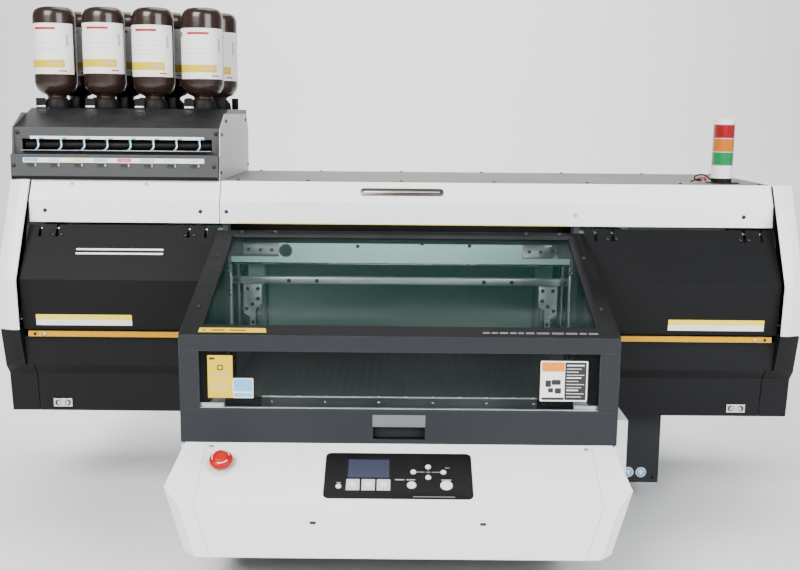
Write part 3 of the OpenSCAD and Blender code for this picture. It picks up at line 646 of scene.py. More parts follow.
keySlope = math.radians(26.7)
keyOrigin = Vector((0, -0.514, 0.274))
keyAlong = Vector((0, math.cos(keySlope), math.sin(keySlope)))
keyNormal = Vector((0, -math.sin(keySlope), math.cos(keySlope)))
lidSlope = math.atan2(0.136, 0.410)
lidOrigin = Vector((0, -0.104, 0.604))
lidAlong = Vector((0, math.cos(lidSlope), math.sin(lidSlope)))
lidNormal = Vector((0, -math.sin(lidSlope), math.cos(lidSlope)))
rightWay = Vector((1, 0, 0))
frontWay = Vector((0, -1, 0))
upWay = Vector((0, 0, 1))
bothSides = (-1, 1)


def onKeys(x, v, h=0.0):
    return keyOrigin + rightWay * x * mm + keyAlong * v * mm + keyNormal * h * mm


def onLid(x, v, h=0.0):
    return lidOrigin + rightWay * x * mm + lidAlong * v * mm + lidNormal * h * mm


coverLow = (Vector((0, -0.155, 0.398)), Vector((0, -0.168, 0.506)))
coverHigh = (Vector((0, -0.168, 0.506)), Vector((0, -0.091, 0.612)))
fasciaLow = (Vector((0, -0.091, 0.617)), Vector((0, -0.089, 0.664)))
fasciaHigh = (Vector((0, -0.089, 0.664)), Vector((0, -0.065, 0.706)))


# Point on a folded cover at a height, lifted off its face, with the face's directions
def onFold(fold, x, z, lift=0.0):
    low, high = fold
    along = (high - low).normalized()
    normal = rightWay.cross(along)
    share = (z * mm - low.z) / (high.z - low.z)
    return low + (high - low) * share + rightWay * x * mm + normal * lift * mm, along, normal


def foldPlaces(fold, spots, lift):
    return [onFold(fold, x, z, lift)[::2] for x, z in spots]


# Thin plates on the upright faces, the key slope and the lid
def frontPlate(name, place, width, height, thick, finish, corner=0.0015, bevel=0.0):
    return plateOn(name, place, rightWay, upWay, width, height, thick, finish, corner, bevel)


def keyPlate(name, x, v, width, height, lift, thick, finish, corner=0.0003):
    return plateOn(name, onKeys(x, v, lift), rightWay, keyAlong, width * mm, height * mm, thick, finish, corner)


def lidPlate(name, x, v, width, height, lift, thick, finish, corner):
    return plateOn(name, onLid(x, v, lift), rightWay, lidAlong, width * mm, height * mm, thick, finish, corner)


# Tube along a row of points, as a mesh
def tubeAlong(name, route, radius, ringSteps):
    curve = bpy.data.curves.new(name, "CURVE")
    curve.dimensions = "3D"
    curve.bevel_depth = radius
    curve.bevel_resolution = ringSteps
    line = curve.splines.new("POLY")
    line.points.add(len(route) - 1)
    for spot, place in zip(line.points, route):
        spot.co = (*place, 1)
    tube = bpy.data.objects.new(name, curve)
    bpy.context.scene.collection.objects.link(tube)
    pick(tube)
    bpy.ops.object.convert(target="MESH")
    tube = bpy.context.object
    smoothBy(tube)
    tube.data.materials.clear()
    return tube


print("helpers ready")

# floor and backdrop

floorSettings = {
    "halfWidth": 7.0, "front": -6.0, "wall": 5.4, "bend": 1.6, "height": 5.0,
    "top": -0.0005, "foot": -0.02, "thick": 0.02, "bendSteps": 12, "colour": (0.80, 0.805, 0.81),
}


def makeFloor(settings):
    coated("floorPaper", settings["colour"], 0.75, 0.05, 60, 0.02, 0.0, dust=0.0)
    half, wall, bend, front = (settings[key] for key in ("halfWidth", "wall", "bend", "front"))
    low, high, foot, steps = (settings[key] for key in ("top", "height", "foot", "bendSteps"))
    top = [(-half, front, low)]
    for step in range(steps + 1):
        angle = math.radians(90 * step / steps)
        top.append((-half, wall - bend + bend * math.sin(angle), low + bend * (1 - math.cos(angle))))
    back = wall + settings["thick"]
    outline = top + [(-half, wall, high), (-half, back, high), (-half, back, foot), (-half, front, foot)]
    pushed("studioFloor", outline, (2 * half, 0, 0), "floorPaper")


makeFloor(floorSettings)

# CAD solids with rounded edges

plainSolids = {
    "base_frame": ("chassisBlack", 0.0012, "frame_steel"),
    "base_shell": ("whiteEnamel", 0.0008, "white_enamel"),
    "levelling_feet": ("brightSteel", 0.0008, "bright_steel"),
    "table_rails": ("brightSteel", 0.0008, "bright_steel"),
    "lift_posts": ("brightSteel", 0.0010, "bright_steel"),
    "drive_motors": ("matteBlack", 0.0012, "motor_steel"),
    "deck_cover": ("deckEnamel", 0.0012, "grey_deck"),
    "end_caps": ("capEnamel", 0.0025, "white_enamel"),
    "lower_covers": ("fairingEnamel", 0.0010, "dark_enamel"),
    "yellow_strips": ("stripYellow", 0.0008, "yellow_plastic"),
    "rear_covers": ("rearEnamel", 0.0008, "rear_enamel"),
    "electrical_box": ("hoodFront", 0.0015, "dark_enamel"),
    "ink_tray": ("inkFront", 0.0008, "ink_enamel"),
    "ink_metalwork": ("plateZinc", 0.0005, "bright_steel"),
    "pins_and_screws": ("brightSteel", 0.0004, "bright_steel"),
    "stay_tubes": ("matteBlack", 0.0008, "black_paint"),
    "stay_rods": ("brightSteel", 0.0006, "bright_steel"),
    "left_cover": ("darkEnamel", 0.0008, "dark_enamel"),
    "right_cover": ("darkEnamel", 0.0008, "dark_enamel"),
    # the beam's light teal paint carries painted light from the lit interior
    "gantry_beam": ("beamZinc", 0.0015, "aluminium"),
    "carriage_rail": ("brightSteel", 0.0008, "bright_steel"),
    "drive_belt": ("rubberBlack", 0.0002, "black_rubber"),
    "drive_pulley": ("aluminium", 0.0004, "aluminium"),
    "idle_pulley": ("aluminium", 0.0004, "aluminium"),
    "capping_base": ("chassisBlack", 0.0010, "frame_steel"),
    "cap_pads": ("rubberBlack", 0.0010, "black_rubber"),
    "carriage_body": ("carriageGrey", 0.0015, "carriage_shell"),
    "print_heads": ("aluminium", 0.0008, "aluminium"),
    "uv_lamps": ("matteBlack", 0.0012, "black_paint"),
    "left_lift_screw": ("brightSteel", 0.0005, "bright_steel"),
    "right_lift_screw": ("brightSteel", 0.0005, "bright_steel"),
    "table_saddle": ("aluminium", 0.0010, "aluminium"),
    "table_top": ("tableBlack", 0.0003, "black_anodised"),
    "table_screw": ("brightSteel", 0.0005, "bright_steel"),
    "red_lens": ("redLens", 0.0008, "red_lens"),
    "amber_lens": ("amberLens", 0.0008, "amber_lens"),
    "green_lens": ("greenLens", 0.0008, "green_lens"),
    "hood_glass": ("lidPane", 0.0006, "tinted_pane"),
    "hood_window": ("smokePane", 0.0006, "smoke_pane"),
    "lcd_window": ("displayBlue", 0.0005, "display"),
    "tower_base": ("towerWhite", 0.0012, "tower_white"),
}

solids = {}
for node, (finish, width, slotName) in plainSolids.items():
    solids[node] = stands(rounded(node, finish, width), node)
print("rounded solids made:", len(solids))


# Gives the faces that pass a test another finish
def repaint(item, finish, test):
    item.data.materials.append(finishes[finish])
    index = len(item.data.materials) - 1
    for face in item.data.polygons:
        if test(face.center, face.normal):
            face.material_index = index


repaint(solids["table_saddle"], "zincSheet", lambda c, n: c.y < -0.433)
repaint(solids["tower_base"], "matteBlack", lambda c, n: c.z < 0.7168)
repaint(solids["ink_metalwork"], "matteBlack", lambda c, n: 0.8562 < c.z < 0.8785 and -0.822 < c.x < -0.4)
repaint(solids["ink_tray"], "inkTop", lambda c, n: c.z < 0.7085)

# fascias

fasciaSettings = {
    "screws": [(-754, 642), (-425, 642), (-370, 642), (726, 640)],
    "lowPlugs": [(370, 641)], "highPlugs": [(-700, 697), (-542, 697)],
    "badge": (2, 685), "badgeSize": (0.176, 0.017), "rimSize": (0.160, 0.0035), "footHalf": 352,
}


def makeFascias(settings):
    stands(rounded("front_fascias", "whiteEnamel", 0.0012), "front_fascias")
    screwSet("fasciaScrews", darkPan, foldPlaces(fasciaLow, settings["screws"], 0.3))
    plug = upright("fasciaPlug", [(0, 0.0006), (0.0036, 0.0006), (0.0046, 0.0002), (0.0046, -0.0003), (0, -0.0003)],
        "labelGrey", 20)
    places = foldPlaces(fasciaHigh, settings["highPlugs"], 0.2) + foldPlaces(fasciaLow, settings["lowPlugs"], 0.2)
    screwSet("fasciaPlugs", plug, places, "frame")
    remove(plug)
    spot, along, normal = onFold(fasciaHigh, *settings["badge"], 0.2)
    plate = plateOn("namelessBadge", spot, rightWay, along, *settings["badgeSize"], 0.0022, "badgeBronze",
        0.006, 0.0006)
    rim = plateOn("badgeRim", spot + normal * 0.0018, rightWay, along, *settings["rimSize"], 0.0010, "aluminium",
        0.0016, 0.0003)
    onBody(plate, "frame")
    onBody(rim, "frame")
    half, foot = settings["footHalf"], fasciaLow[0].z / mm
    corners = ((-half, foot + 0.4), (half, foot + 0.4), (half, foot + 2.2), (-half, foot + 2.2))
    edge = [onFold(fasciaLow, x, z, 0.1)[0] for x, z in corners]
    onBody(pushed("fasciaFootLine", edge, (0, -0.0003, 0), "labelCream"), "frame")


makeFascias(fasciaSettings)
print("fascias done")

# side covers: labels, stripes, screws

coverSettings = {
    "labelMiddle": 660, "labelWidth": 200, "labelZ": (407.5, 431), "stripeX": (-680, -497), "stripeZ": (556, 564),
    "screws": [(735, 593), (717, 593), (455, 593), (437, 593)],
    # share of the label's height and width where each rule is, and its share of the width
    "rules": [(0.30, -0.30, 0.10), (0.30, 0.0, 0.20), (0.30, 0.34, 0.08), (-0.18, -0.12, 0.5), (-0.30, -0.2, 0.34)],
}


def makeCoverTrim(settings):
    zLow, zHigh = settings["labelZ"]
    height, width = (zHigh - zLow) * mm, settings["labelWidth"] * mm
    for side, body in zip(bothSides, ("left_cover", "right_cover")):
        spot, along, normal = onFold(coverLow, side * settings["labelMiddle"], (zLow + zHigh) / 2, 0.15)
        for part, way, finish, slotName in (("LabelBase", -1, "labelWhite", "white_enamel"),
                ("LabelHigh", 1, "labelCream", "yellow_plastic")):
            middle = spot + along * way * height / 4
            onBody(plateOn(body + part, middle, rightWay, along, width, height / 2, 0.0003, finish, 0.0008),
                body)
        rules = []
        for row, x, length in settings["rules"]:
            middle = spot + along * height * row + rightWay * x * width + normal * 0.0003
            rules.append(plateOn("rule", middle, rightWay, along, width * length, 0.0006, 0.00012, "labelGrey", 0.0002))
        grouped(rules, body + "LabelRules", body)
        places = foldPlaces(coverHigh, [(x * side, z) for x, z in settings["screws"]], 0.25)
        screwSet(body + "Screws", darkPan, places, body)
    x0, x1 = settings["stripeX"]
    stripes = []
    for z in settings["stripeZ"]:
        spot, along, normal = onFold(coverHigh, (x0 + x1) / 2, z, 0.15)
        stripes.append(plateOn("stripe", spot, rightWay, along, (x1 - x0) * mm, 0.0042, 0.0003, "labelWhite"))
    grouped(stripes, "coverStripes", "left_cover")


makeCoverTrim(coverSettings)

stripSettings = {"screwX": 0.742, "pinX": 0.762, "y": -0.1631, "z": 0.390}


def makeStripTrim(settings):
    y, z = settings["y"], settings["z"]
    screwSet("stripScrews", brightPan, aimed(frontWay, [(side * settings["screwX"], y, z) for side in bothSides]))
    profile = [(0, 0.0002), (0.0026, 0.0002), (0.0030, 0.0008), (0.0034, 0.0002), (0.0034, -0.0002), (0, -0.0002)]
    ends = [turned("stripHole", profile, (side * settings["pinX"], y, z), frontWay, "darkScrew", 18)
        for side in bothSides]
    grouped(ends, "stripHoles", "frame")


makeStripTrim(stripSettings)
print("cover trim done")

# hood

hoodSettings = {
    "seamZ": (0.440, 0.3335), "seamHalf": 0.3785, "postX": 0.352, "stripX": (-352, -236), "noteX": (145, 347),
    "dashes": [(-343, 5), (-318, 22), (-284, 30)],
    "noteRows": (-419, -415.5), "noteLengths": (10, 26), "noteGap": 2,
    "gaskets": [(-353, -398, 353, -394), (-353, -22, 353, -18), (-353, -396, -349.5, -20), (349.5, -396, 353, -20)],
    "gripOutline": [(-0.5148, 0.3265), (-0.5148, 0.3048), (-0.5128, 0.3040), (-0.5105, 0.3040), (-0.5105, 0.3052),
        (-0.5128, 0.3062), (-0.5135, 0.3076), (-0.5135, 0.3265)],
}


def makeHood(settings):
    item = rounded("hood_frame", "hoodFront", 0.0012)
    half = settings["seamHalf"]
    lines = [(-half, z - 0.0005, half, z + 0.0005) for z in settings["seamZ"]]
    lines += [(side * settings["postX"] - 0.0004, 0.3345, side * settings["postX"] + 0.0004, 0.439)
        for side in bothSides]
    seams = [block("seam", (x0, -0.51415, z0), (x1, -0.5138, z1), "labelBlack", 0) for x0, z0, x1, z1 in lines]
    grouped(seams, "hoodSeams", "hood")
    repaint(item, "hoodLid", lambda c, n: n.z > 0.7 or abs(n.x) > 0.9 and c.z > 0.45 or c.y > -0.5 and n.y > -0.5)
    stands(item, "hood_frame")
    x0, x1 = settings["stripX"]
    corners = ((x0, -423), (x1 + 3, -423), (x1, -408), (x0, -408))
    strip = pushed("lidYellowStrip", [onLid(x, v, 0.15) for x, v in corners], lidNormal * 0.0004, "labelYellow")
    onBody(strip, "hood")
    dashes = [lidPlate("dash", x, -416, w, 4, 0.6, 0.0001, "labelBlack", 0.001) for x, w in settings["dashes"]]
    grouped(dashes, "lidStripMarks", "hood")
    notes = []
    generator = random.Random(4)
    x, end = settings["noteX"]
    while x < end:
        length = generator.uniform(*settings["noteLengths"])
        notes += [lidPlate("note", x + length / 2, row, length * 0.9, 0.9, 0.15, 0.00012, "labelGrey", 0.0003)
            for row in settings["noteRows"]]
        x += length + settings["noteGap"]
    grouped(notes, "lidNoteLines", "hood")
    gasket = [lidPlate("gasket", (x0 + x1) / 2, (v0 + v1) / 2, x1 - x0, v1 - v0, -7.9, 0.002, "rubberBlack", 0.001)
        for x0, v0, x1, v1 in settings["gaskets"]]
    grouped(gasket, "lidGasket", "hood")
    lip = block("windowLightLine", (-0.350, -0.5130, 0.3362), (0.350, -0.5062, 0.3378), "zincSheet", 0.0003)
    onBody(lip, "hood")
    corners = [block("cornerClip", (x - 0.026, -0.5075, 0.3378), (x + 0.026, -0.5063, 0.3445), "zincSheet", 0.0004)
        for x in (-0.335, 0.335)]
    grouped(corners, "windowClips", "hood")
    outline = [(-0.0465, y, z) for y, z in settings["gripOutline"]]
    onBody(pushed("handleLip", outline, (0.093, 0, 0), "handleGrey", 0.0005), "hood")
    cup = block("handleCup", (-0.0455, -0.4992, 0.280), (0.0455, -0.4982, 0.3265), "hoodFront", 0.0003)
    onBody(cup, "hood")
    places = [(onLid(x, v, 0.2), lidNormal) for x in (-368, 368) for v in (-120, -330)]
    screwSet("lidScrews", darkPan, places, "hood")


makeHood(hoodSettings)

# flat cards on the inside of the front window; each plate is x, z and finish, on the card or on another plate

windowCards = {
    "windowYellowCard": ("yellow_plastic", (-337, -293, 353, 430, "labelYellow"),
        [(-320, -310, 403, 413, "labelBlack"), (-334, -324, 422, 426, "labelBlack")]
        + [(-332, -298 - 3 * (k % 3), z, z + 1.1, "labelGrey") for k, z in enumerate((396, 391, 380, 375, 370, 365))],
        [(-318, -312, 405, 411, "labelYellow")]),
    "windowBlueCard": ("white_enamel", (-293, -257, 353, 389, "labelWhite"),
        [(-291.5, -258.5, 365, 387.5, "labelBlue"), (-291.5, -258.5, 355, 362, "labelBlue")], []),
    "windowBoardCard": ("white_enamel", (248, 331, 352, 425, "labelWhite"),
        [(250.5, 290, 406, 422.5, "labelOrange"), (291, 328.5, 354.5, 422.5, "labelBlack"),
            (250.5, 290, 354.5, 359, "labelBlack"), (257, 267, 378, 390, "labelBlack"),
            (268, 284, 382, 391, "labelBlack"), (262, 271, 368, 376, "labelBlack"), (274, 285, 366, 376, "labelBlack")],
        [(294, 325 - 5 * (k % 3), 416 - 5.6 * k, 416 - 5.6 * k + (1.0 if k % 4 else 2.2), "labelWhite")
            for k in range(11)]),
}


def windowPlate(name, plate, lift=0.0, thick=0.0003):
    x0, x1, z0, z1, finish = plate
    centre = ((x0 + x1) / 2 * mm, -0.5062 - lift, (z0 + z1) / 2 * mm)
    return frontPlate(name, centre, (x1 - x0) * mm, (z1 - z0) * mm, thick, finish)


def makeWindowCards(cards):
    for name, (slotName, card, marks, upperMarks) in cards.items():
        parts = [windowPlate("card", card)]
        parts += [windowPlate("mark", mark, 0.0003, 0.0001) for mark in marks]
        parts += [windowPlate("mark", mark, 0.0004, 0.0001) for mark in upperMarks]
        grouped(parts, name, "hood")


makeWindowCards(windowCards)
print("hood done")

# operator box

boxSettings = {
    "seamX": 0.340, "seamFootX": 0.317, "frontY": -0.6242, "footZ": 0.108, "holeX": 0.142, "holeZ": 0.1765,
    "screwX": 330, "screwV": -12,
}


def makeOperatorBox(settings):
    item = rounded("operator_box", "boxEnamel", 0.0022, 3)
    top, bend = onKeys(0, 2), onKeys(0, -146.3)
    frontY, footZ = settings["frontY"], settings["footZ"]
    lift, sink = keyNormal * 0.00015, keyNormal * -0.0006
    seams = []
    for side in bothSides:
        x = rightWay * settings["seamX"] * side
        slope = [x + top + lift, x + bend + lift, x + bend + sink, x + top + sink]
        foot = Vector((settings["seamFootX"] * side, frontY, footZ))
        front = [x + bend + Vector((0, -0.0002, 0)), foot, foot + Vector((0, 0.0008, 0)),
            x + bend + Vector((0, 0.0006, 0))]
        seams += [pushed("seam", outline, (0.0008, 0, 0), "labelGrey") for outline in (slope, front)]
    grouped(seams, "boxSeams", "frame")
    down = Vector((0, frontY - bend.y, footZ - bend.z)).normalized()
    share = (bend.z - settings["holeZ"]) / (bend.z - footZ)
    holeY = bend.y + share * (frontY - bend.y)
    # painted shade: thin black plates stand for the two holes in the box front
    paintedHoleShades = [plateOn("hole", (side * settings["holeX"], holeY, settings["holeZ"]), rightWay, down, 0.0105, 0.0055,
        0.0002, "labelBlack") for side in bothSides]
    grouped(paintedHoleShades, "boxHoleShades", "frame")
    stands(item, "operator_box")
    places = [(onKeys(side * settings["screwX"], settings["screwV"], 0.2), keyNormal) for side in bothSides]
    screwSet("boxScrews", brightPan, places)


makeOperatorBox(boxSettings)

panelSettings = {
    "halfWidth": 0.126, "edges": (0.025, 0.129), "corner": 0.009, "near": 0.0003,
    # x, v, width and height of each printed dash, and of each side of the display's frame
    "marks": [(38, -69, 14, 0.9), (64, -69, 14, 0.9), (51, -64.6, 0.9, 2.4), (51, -73.8, 0.9, 2.4), (51, -69, 8, 0.9),
        (2, -87, 16, 2.0), (21, -87, 15, 2.0), (81.5, -87, 17, 2.0), (-101, -95, 7, 1.6), (84, -59, 8, 1.0),
        (60, -125, 70, 0.8)],
    "display": [(-51, -38.5, 76, 2), (-51, -83.5, 76, 1.2), (-88.5, -61, 1.5, 46), (-13.5, -61, 1.5, 46)],
}


def makeControlPanel(settings):
    item = rounded("control_panel", "panelFilm", 0)
    pick(item)
    near = settings["near"]
    for vertex in item.data.vertices:
        local = vertex.co - keyOrigin
        atSide = abs(abs(local.x) - settings["halfWidth"]) < near
        vertex.select = atSide and min(abs(local.dot(keyAlong) + edge) for edge in settings["edges"]) < near
    for edge in item.data.edges:
        a, b = (item.data.vertices[k] for k in edge.vertices)
        edge.select = a.select and b.select and abs((a.co - b.co).normalized().dot(keyNormal)) > 0.9
    for face in item.data.polygons:
        face.select = False
    bpy.context.tool_settings.mesh_select_mode = (False, True, False)
    editMode()
    bpy.ops.mesh.bevel(offset=settings["corner"], segments=6)
    objectMode()
    bpy.context.tool_settings.mesh_select_mode = (True, False, False)
    applyModifier(item, "BEVEL", width=0.0004, segments=2, limit_method="ANGLE", angle_limit=math.radians(50))
    smoothBy(item)
    repaint(item, "chassisBlack", lambda c, n: (c - keyOrigin).dot(keyNormal) < -0.001)
    stands(item, "control_panel")
    marks = [keyPlate("mark", *mark, 1.62, 0.0001, "labelGrey") for mark in settings["marks"]]
    grouped(marks, "panelMarks", "frame")
    edges = [keyPlate("displayEdge", *edge, 1.6, 0.0004, "matteBlack", 0.0004) for edge in settings["display"]]
    grouped(edges, "displayFrame", "frame")


makeControlPanel(panelSettings)

keySettings = {
    "function_key": (-101, -103, 5.0), "up_key": (51, -57, 5.0), "down_key": (51, -81.5, 5.0),
    "left_key": (25.5, -69, 5.0), "right_key": (77, -69, 5.0), "test_key": (22.5, -99, 8.0),
    "enter_key": (81.5, -99, 10.5),
}
dimpleProfile = [(0, 0.0002), (0.0042, 0.00022), (0.0050, 0.0004), (0.0057, 0.0001), (0, 0.0)]


def makeKeys(settings):
    for node, (x, v, r) in settings.items():
        r = (r - 0.02) * mm
        profile = [(0, 0.0026), (r * 0.72, 0.0027), (r * 0.9, 0.0027), (r * 0.985, 0.0021), (r, 0.0013), (r, -0.004),
            (0, -0.004)]
        key = turned(node.replace("_key", "Button"), profile, onKeys(x, v), keyNormal, "keyWhite", 36)
        stands(key, node)
    for node in ("soft_key_left", "soft_key_middle", "soft_key_right"):
        stands(rounded(node, "keyGrey", 0.0011, 3), node)
        low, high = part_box(node)
        middle = onKeys((low[0] + high[0]) / 2 / mm, -99, 2.5)
        dimple = turned(node.replace("_", "") + "Dimple", dimpleProfile, middle, keyNormal, "keyWhite", 28)
        onBody(dimple, node)


makeKeys(keySettings)

stopSettings = {"x": -305, "v": -56, "radius": 20, "arcs": 3, "arcStart": 15, "arcStep": 9}


def makeStopButton(settings):
    r = settings["radius"] * mm
    centre = onKeys(settings["x"], settings["v"])
    profile = [(0, -0.018), (0.0109, -0.018), (0.0109, 0.0085), (0.013, 0.0095), (r - 0.0022, 0.010),
        (r - 0.0004, 0.0115), (r, 0.0138), (r - 0.0002, 0.0165), (r - 0.0014, 0.0188), (r - 0.0040, 0.0206),
        (r - 0.0052, 0.0209), (r - 0.0060, 0.0218), (r - 0.0078, 0.0240), (r - 0.011, 0.0252), (0.005, 0.0259),
        (0, 0.0260)]
    stands(turned("stopMushroom", profile, centre, keyNormal, "stopRed", 64), "stop_button")
    marks = []
    for turn in range(settings["arcs"]):
        inner, outer = [], []
        for k in range(9):
            angle = math.radians(turn * 360 / settings["arcs"] + settings["arcStart"] + settings["arcStep"] * k)
            way = rightWay * math.cos(angle) + keyAlong * math.sin(angle)
            inner.append(centre + way * 0.0142 + keyNormal * 0.0217)
            outer.append(centre + way * 0.0156 + keyNormal * 0.0213)
        marks.append(pushed("arc", inner + outer[::-1], keyNormal * 0.0002, "labelWhite"))
    grouped(marks, "stopArcs", "stop_button")
    profile = [(0.0115, 0.0029), (0.0115, 0.0036), (0.0235, 0.0036), (0.0265, 0.0031), (0.0265, 0.0029)]
    onBody(turned("stopSeatRing", profile, centre, keyNormal, "stopSeat", 48), "frame")


makeStopButton(stopSettings)
print("operator box done")

# signal tower

towerSettings = {
    "x": 0.7, "y": -0.004, "radius": 0.0235, "ringZ": (0.745, 0.774, 0.803, 0.833),
    "leadRadius": 0.0016, "loopX": 0.664, "loopY": 0.004, "loopZ": 0.7105, "loopPoints": 24,
    "leadStart": (0.684, 0.004, 0.7100), "leadEnd": (0.640, 0.02, 0.7078), "ties": [(0.668, 0.7145), (0.658, 0.7135)],
}


def makeTower(settings):
    centre = Vector((settings["x"], settings["y"], 0))
    r = settings["radius"]
    rings = []
    for z in settings["ringZ"]:
        profile = [(r - 0.0016, z - 0.0012), (r - 0.0002, z - 0.0009), (r, z), (r - 0.0002, z + 0.0009),
            (r - 0.0016, z + 0.0012)]
        rings.append(turned("towerRing", profile, centre, upWay, "labelGrey"))
    grouped(rings, "towerRings", "frame")
    profile = [(0.0, 0.7061), (0.036, 0.7061), (0.036, 0.7076), (0.034, 0.7084), (0.0, 0.7084)]
    plinth = turned("towerPlinth", profile, centre + Vector((0.004, 0.004, 0)), upWay, "matteBlack", 36)
    onBody(plinth, "frame")
    count = settings["loopPoints"]
    loop = []
    for k in range(count):
        angle = k / (count - 1) * math.tau
        loop.append((settings["loopX"] + 0.010 * math.cos(angle) - 0.0006 * k,
            settings["loopY"] + 0.012 * math.sin(angle * 0.5), settings["loopZ"] + 0.0065 * (1 + math.sin(angle))))
    lead = tubeAlong("towerLead", [settings["leadStart"]] + loop + [settings["leadEnd"]], settings["leadRadius"], 4)
    lead.data.materials.append(finishes["matteBlack"])
    onBody(lead, "frame")
    profile = [(0.0030, -0.0022), (0.0046, -0.0022), (0.0050, 0.0), (0.0046, 0.0022), (0.0030, 0.0022)]
    ties = [turned("redTie", profile, (x, 0.008, z), (1, 0.3 * k, 0.4), "labelRed", 20)
        for k, (x, z) in enumerate(settings["ties"])]
    grouped(ties, "leadTies", "frame")


makeTower(towerSettings)
print("tower done")

# ink station

inkSettings = {
    "tubeX": -787, "pitch": 49.4, "count": 8, "tabs": [(0.10, 0.38, 0.75), (0.55, 0.60, 0.80), (0.78, 0.74, 0.18),
        (0.22, 0.56, 0.75), (0.72, 0.05, 0.22), (0.48, 0.44, 0.58), (0.62, 0.68, 0.74), (0.70, 0.70, 0.72)],
    # on each chip slot: the set it joins, offset in x, y and z, size, thickness, finish, corner, bevel
    "slotPlates": [
        ("inkTabs", -0.002, -0.0727, 0.7472, 0.030, 0.0075, 0.00015, "inkTab", 0.0008, 0.0),
        ("inkTabNotes", -0.002, -0.07285, 0.7466, 0.013, 0.0018, 0.0001, "labelGrey", 0.0003, 0.0),
        ("chipRims", 0.0, -0.0722, 0.7365, 0.023, 0.0105, 0.0008, "chassisBlack", 0.0035, 0.0003),
        # painted shade: the black plate stands for each chip slot's opening; the small aluminium plate below joins the
        # same set
        ("chipSlotShadesAndPlates", -0.002, -0.0729, 0.7370, 0.013, 0.0048, 0.0003, "labelBlack", 0.0015, 0.0),
        ("chipSlotShadesAndPlates", 0.0075, -0.0729, 0.7365, 0.0032, 0.0062, 0.0005, "aluminium", 0.0008, 0.0),
    ],
    "sets": {"inkTabs": "white_enamel", "inkTabNotes": "dark_enamel", "chipRims": "dark_enamel",
        "chipSlotShadesAndPlates": "aluminium"},
    "shelfOutline": [(-0.046, 0.765), (-0.058, 0.7655), (-0.0585, 0.768), (-0.0575, 0.768), (-0.0572, 0.7668),
        (-0.046, 0.7665)],
    "sideScrews": [(-0.052, 0.722), (-0.036, 0.802), (0.300, 0.832), (0.335, 0.722)],
}


def makeInkHousing(settings):
    item = rounded("ink_housing", "inkTop", 0.0008)
    repaint(item, "inkFront", lambda c, n: n.y < -0.8 or c.z < 0.812)
    stands(item, "ink_housing")
    for k, colour in enumerate(settings["tabs"]):
        coated("inkTab" + str(k), colour, 0.4, 0.1, 1500, 0.04, 0.0, dust=0.0)
    rail = frontPlate("labelRail", (-0.610, -0.0723, 0.7468), 0.384, 0.010, 0.0004, "labelWhite", 0.0008)
    onBody(rail, "frame")
    sets = {name: [] for name in settings["sets"]}
    for k in range(settings["count"]):
        middle = (settings["tubeX"] + settings["pitch"] * k + 4) * mm
        for name, x, y, z, width, height, thick, finish, corner, bevel in settings["slotPlates"]:
            own = finish + str(k) if finish == "inkTab" else finish
            sets[name].append(frontPlate(name, (middle + x, y, z), width, height, thick, own, corner, bevel))
    for name, slotName in settings["sets"].items():
        grouped(sets[name], name, "frame")
    outline = [(-0.812, y, z) for y, z in settings["shelfOutline"]]
    onBody(pushed("slotTray", outline, (0.406, 0, 0), "brightSteel", 0.0002), "frame")
    # painted highlight: a thin white strip along the top of the slot area stands for a glint
    paintedGlint = frontPlate("slotTopPaintedHighlight", (-0.6085, -0.0445, 0.7935), 0.372, 0.0062, 0.0006, "labelWhite", 0.0008)
    onBody(paintedGlint, "frame")
    profile = [(0, -0.201), (0.0075, -0.201), (0.0085, -0.199), (0.0085, 0.199), (0.0075, 0.201), (0, 0.201)]
    barrel = turned("slotRoller", profile, (-0.609, -0.026, 0.7775), rightWay, "inkTop", 28)
    onBody(barrel, "frame")
    lip = block("trayLip", (-0.828, -0.0731, 0.7063), (-0.390, -0.0650, 0.7130), "rubberBlack", 0.0008)
    onBody(lip, "frame")
    places = aimed(frontWay, [(-0.821, -0.0444, 0.804), (-0.397, -0.0444, 0.804),
        (-0.822, -0.0724, 0.735), (-0.397, -0.0724, 0.735)])
    places += aimed(rightWay, [(-0.3859, y, z) for y, z in settings["sideScrews"] + [(0.02, 0.830)]])
    places += aimed(-rightWay, [(-0.8321, y, z) for y, z in settings["sideScrews"]])
    screwSet("inkScrews", darkPan, places)
    slopeAlong = Vector((0, 113, 41)).normalized()
    # painted shade: thin black plates stand for the two slots in the sloped housing top
    paintedSlotShades = [plateOn("topSlotShade", (x, -0.006, 0.8287), rightWay, slopeAlong, 0.038, 0.0022, 0.0006, "labelBlack", 0.001)
        for x in (-0.733, -0.523)]
    grouped(paintedSlotShades, "housingSlotShades", "frame")


makeInkHousing(inkSettings)


def makeInkTubes(settings):
    pieces = []
    for k in range(settings["count"]):
        x0 = (settings["tubeX"] + settings["pitch"] * k) * mm
        route = []
        for j in range(26):
            t = j / 25
            route.append((x0 + 0.004 + 0.014 * t + 0.003 * math.sin(t * 9), -0.0475 + 0.004 * math.sin(t * 3.1),
                0.7665 + 0.026 * math.sin(t * math.pi * 0.62)))
        tube = tubeAlong("inkTube", route, 0.0020, 3)
        for finish in ("tubeBlue", "tubeWhite"):
            tube.data.materials.append(finishes[finish])
        for face in tube.data.polygons:
            face.material_index = 1 if int((face.center.x - x0) / 0.0022) % 3 == 1 else 0
        pieces.append(tube)
    stands(joined(pieces, "inkTubeSet"), "ink_tubes")


makeInkTubes(inkSettings)

